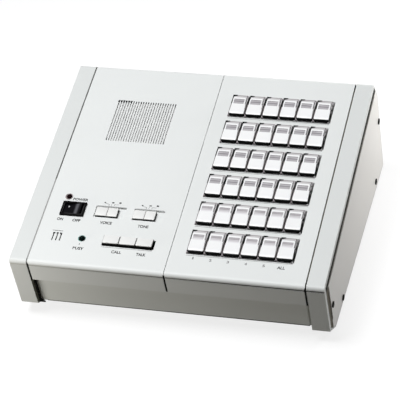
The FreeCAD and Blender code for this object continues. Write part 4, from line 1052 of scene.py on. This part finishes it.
HEM_LEFT = -113.0
HEM_RIGHT = 117.0
HEM_TOP = -54.35
HEM_LOW = -55.5
HEM_FACE = 3.12
hem = block("tray_hem", (HEM_LEFT, HEM_FACE, HEM_LOW), (HEM_RIGHT, HEM_FACE + 0.6, HEM_TOP), HEM_SHADE)
hem = lay_on_panel(hem)
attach(hem, "case")


# ---------------- painted shade in the left seam: grey fillers, lighter in front and darker behind

FILL_LEFT = -119.95
FILL_RIGHT = -118.95
FILL_START = 3.6
FILL_MIDDLE = 93.0
FILL_REAR = 226.0
LOWER_TOP = -0.25
UPPER_TOP = -0.45
FILL_DEEP = 0.85
filler = block("left_seam_filler", (FILL_LEFT, FILL_START, LOWER_TOP - FILL_DEEP),
               (FILL_RIGHT, FILL_MIDDLE, LOWER_TOP), SEAM_FILL)
upper = block("upper", (FILL_LEFT, FILL_MIDDLE - 0.1, UPPER_TOP - FILL_DEEP),
              (FILL_RIGHT, FILL_REAR, UPPER_TOP), SEAM_SHADE)
filler = lay_on_panel(merge("left_seam_filler", [filler, upper]))
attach(filler, "case")

# The bend filler carries the seam's painted shade over the bend.
BEND_START = 0.9
bend_filler = block("left_bend_filler", (FILL_LEFT, BEND_START, -3.4),
                    (FILL_RIGHT, FILL_START + 0.1, -BEND_START), SEAM_FILL)
bend_filler = round_edges(
    bend_filler, lambda edge: middle(edge).z > -1 * MM and middle(edge).y < 1 * MM, 1.2, 3)
lay_on_panel(bend_filler)
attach(bend_filler, "case")


# ---------------- shade in the pressed groove

SWAGE_TOP = -3.5
SWAGE_LOW = -5.8
SWAGE_LAP = -0.35
SWAGE_FLOOR = 0.68
SWAGE_FILL = 0.15
SWAGE_RUNS = {
    "left_cheek_groove": (-134.8, -120.1),
    "left_panel_groove": (-118.3, -0.9),
    "right_panel_groove": (0.9, 118.3),
    "right_cheek_groove": (120.1, 134.8),
}
for name, (low_x, high_x) in SWAGE_RUNS.items():
    shade = block(name, (low_x, SWAGE_FILL, SWAGE_LOW), (high_x, SWAGE_FLOOR, SWAGE_TOP), SWAGE_SHADE)
    shade = nudge(shade, lambda place: place.z < -4 and place.y < 0.5, (0, SWAGE_LAP, 0))
    lay_on_panel(shade)
    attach(shade, "case")


# ---------------- side screws

SCREW_RADIUS = 2.75
SCREW_RISE = 0.9
SOCKET_RIM = 1.3
SOCKET_DEPTH = 0.4
SIDE_FACE = 135.0


def make_screw(name):
    """A low black head with a round socket, drawn upright on its own middle."""
    head = drum(name, SCREW_RADIUS, -0.05, SCREW_RISE, SCREW_BLACK, 24)
    head = round_edges(head, above(SCREW_RISE - 0.05), 0.2, 2)
    return smooth(sink_middle(head, SOCKET_RIM, SOCKET_DEPTH))


def screw_middles():
    """The middles of the eight screw heads, found from the corners that stand off the sides."""
    groups = []
    for point in flat_points("side_screws"):
        if abs(point.x) < (SIDE_FACE + 0.1) * MM:
            continue
        home = next((group for group in groups if (group[0] - point).length < 10 * MM), None)
        if home:
            home.append(point)
        else:
            groups.append([point])
    places = []
    for group in groups:
        low, high = box_of(group)
        places.append(Vector((math.copysign(SIDE_FACE * MM, low.x), *((low + high) / 2).yz)) - PANEL_START)
    return places


heads = []
for place in screw_middles():
    head = make_screw("side_screw_heads")
    side = Matrix.Rotation(math.copysign(math.radians(90), place.x), 4, "Y")
    head.matrix_world = PANEL @ Matrix.Translation(place) @ side
    apply_place(head)
    heads.append(head)
heads = merge("side_screw_heads", heads)
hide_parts("side_screws")
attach(heads, "case")


# ---------------- painted shadow along the front edges of the key windows

EDGE_NEAR = -0.4
EDGE_DEPTH = 0.75
LINE_GAP = 0.6
LINE_DEPTH = 0.4


def make_window_edge(name, boxes):
    """A dark line of painted shadow along the front edge of a window in the panel, and a fine grey line of
    painted shade before it.
    """
    left = min(low.x for low, high in boxes) / MM - 0.2
    right = max(high.x for low, high in boxes) / MM + 0.2
    start = boxes[0][0].y / MM + EDGE_NEAR
    dark = block(name, (left, start - EDGE_DEPTH, INK_LOW), (right, start, INK_HIGH), KEY_BLACK)
    dark = nudge(dark, lambda place: place.x < left + 1 and place.y < start - 0.5, (0.3, 0.4, 0))
    fine = start - EDGE_DEPTH - LINE_GAP
    line = block("line", (left, fine - LINE_DEPTH, INK_LOW), (right, fine, INK_HIGH), INK_AND_SHADE_GREY)
    return merge(name, [dark, line])


rows = {row.replace("station_key", "window_edge"): [name for name in station_keys if name.startswith(row)]
        for row in sorted({name.rsplit("_", 1)[0] for name in station_keys})}
rows["bank_edge"] = ["call_key_left", "call_key_right", "talk_key"]
for name, keys in rows.items():
    edge = make_window_edge(name, [flat_box(key) for key in keys])
    lay_on_panel(edge)
    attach(edge, "case")


# ---------------- microphone backing

BACKING_LOW = (-106.5, 22.0, -1.9)
BACKING_HIGH = (-95.5, 36.5, -1.3)
backing = lay_on_panel(block("microphone_backing", BACKING_LOW, BACKING_HIGH, SWITCH_BLACK))
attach(backing, "case")


# ---------------- grille cloth, and painted shade in the slot ends

CLOTH_RADIUS = 33.0
CLOTH_LOW = -1.7
CLOTH_TOP = -1.3
cloth = drum("grille_cloth_disc", CLOTH_RADIUS, CLOTH_LOW, CLOTH_TOP, CLOTH, 64)
lay_on_panel(cloth, *flat_middle("speaker"))
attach(cloth, "case")

GRILLE_SLOTS = 24
GRILLE_PITCH = 2.27
SLOT_REAR = 24.0
DEEP_END_SHADES = 6
DEEP_END_HALF = 0.95
END_HALF = 0.48
END_LOW = -1.1
end_shades = []
# Painted shade: black in the rear ends of the first slots, dark grey in the rest.
for number in range(GRILLE_SLOTS):
    x = (number - (GRILLE_SLOTS - 1) / 2) * GRILLE_PITCH
    if number < DEEP_END_SHADES:
        end = block("deep_end_shade", (x - DEEP_END_HALF, SLOT_REAR - 1.9, END_LOW),
                    (x + DEEP_END_HALF, SLOT_REAR + 0.3, INK_HIGH), KEY_BLACK)
        end = nudge(end, lambda place: place.y < SLOT_REAR - 1 and place.x > x, (-0.5, 0, 0))
    else:
        end = block("end", (x - END_HALF, SLOT_REAR - 1.2, END_LOW), (x + END_HALF, SLOT_REAR, -0.02),
                    HIGHLIGHT_AND_SHADE_GREY)
    end_shades.append(end)
end_shades = merge("grille_slot_end_shades", end_shades)
lay_on_panel(end_shades, *flat_middle("speaker"))
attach(end_shades, "case")


# ---------------- floor, lights and camera

FLOOR_SIZE = 8
deselect()
bpy.ops.mesh.primitive_plane_add(size=FLOOR_SIZE)
floor = bpy.context.object
floor.name = "floor"
floor_paint = bpy.data.materials.new("floor_paint")
floor_paint.use_nodes = True
floor_tree = floor_paint.node_tree
floor_shader = floor_tree.nodes["Principled BSDF"]
floor_shader.inputs["Roughness"].default_value = 0.9
floor_shader.inputs["Specular IOR Level"].default_value = 0.0
floor_shader.inputs["Emission Color"].default_value = (1, 1, 1, 1)


def seen_rays(tree):
    """One where a ray comes from the camera, from gloss or through glass."""
    path = add(tree, "LightPath")
    first = add(tree, "Math", operation="MAXIMUM")
    second = add(tree, "Math", operation="MAXIMUM")
    join_up(tree, (path.outputs["Is Camera Ray"], first.inputs[0]),
            (path.outputs["Is Glossy Ray"], first.inputs[1]),
            (first.outputs[0], second.inputs[0]),
            (path.outputs["Is Transmission Ray"], second.inputs[1]))
    return second.outputs[0]


FLOOR_TONE = (0.12, 0.110, 0.088, 1)
FLOOR_SEEN_TONE = (0.25, 0.25, 0.25, 1)
FLOOR_LIFT = 0.79
floor_seen = seen_rays(floor_tree)
tone = add(floor_tree, "Mix", data_type="RGBA")
tone.inputs[6].default_value = FLOOR_TONE
tone.inputs[7].default_value = FLOOR_SEEN_TONE
lift = add(floor_tree, "Math", operation="MULTIPLY")
lift.inputs[1].default_value = FLOOR_LIFT
join_up(floor_tree, (floor_seen, tone.inputs["Factor"]),
        (floor_seen, lift.inputs[0]),
        (tone.outputs[2], floor_shader.inputs["Base Color"]),
        (lift.outputs[0], floor_shader.inputs["Emission Strength"]))
floor.data.materials.append(floor_paint)

FILL = 0.02
world = bpy.data.worlds.new("studio")
world.use_nodes = True
world_tree = world.node_tree
backdrop = world_tree.nodes["Background"]
backdrop.inputs["Color"].default_value = (1, 1, 1, 1)
level = add(world_tree, "MapRange", To_Min=FILL, To_Max=1.0)
join_up(world_tree, (seen_rays(world_tree), level.inputs["Value"]),
        (level.outputs["Result"], backdrop.inputs["Strength"]))
scene.world = world


def softbox(name, place, size, watts, colour, target=(0, 0, 0.06)):
    """A square lamp that looks at a place on the case."""
    lamp = bpy.data.lights.new(name, "AREA")
    lamp.size = size
    lamp.energy = watts
    lamp.color = colour
    holder = bpy.data.objects.new(name, lamp)
    scene.collection.objects.link(holder)
    holder.location = place
    aim = Vector(target) - Vector(place)
    holder.rotation_euler = aim.to_track_quat("-Z", "Y").to_euler()


softbox("overhead", (-0.34, -0.28, 1.49), 0.75, 24.0, (0.98, 0.99, 1.0))
softbox("front_left", (-0.28, -0.27, 0.06), 0.12, 0.33, (1.0, 0.975, 0.91), (-0.06, -0.12, 0.04))
softbox("right_rear", (0.36, 0.30, 0.14), 0.12, 1.2, (1.0, 0.995, 0.985), (0.135, 0.12, 0.06))

CAMERA_PLACE = (446.54 * MM, -942.41 * MM, 1242.98 * MM)
CAMERA_TURN = (41.124, 8.498, 13.368)
CAMERA_LENS = 177.92
camera = bpy.data.objects.new("camera", bpy.data.cameras.new("camera"))
scene.collection.objects.link(camera)
camera.data.sensor_width = 36
camera.data.lens = CAMERA_LENS
turn = Euler([math.radians(angle) for angle in CAMERA_TURN]).to_matrix().to_4x4()
camera.matrix_world = PANEL @ Matrix.Translation(CAMERA_PLACE) @ turn
scene.camera = camera

scene.view_settings.view_transform = "Standard"
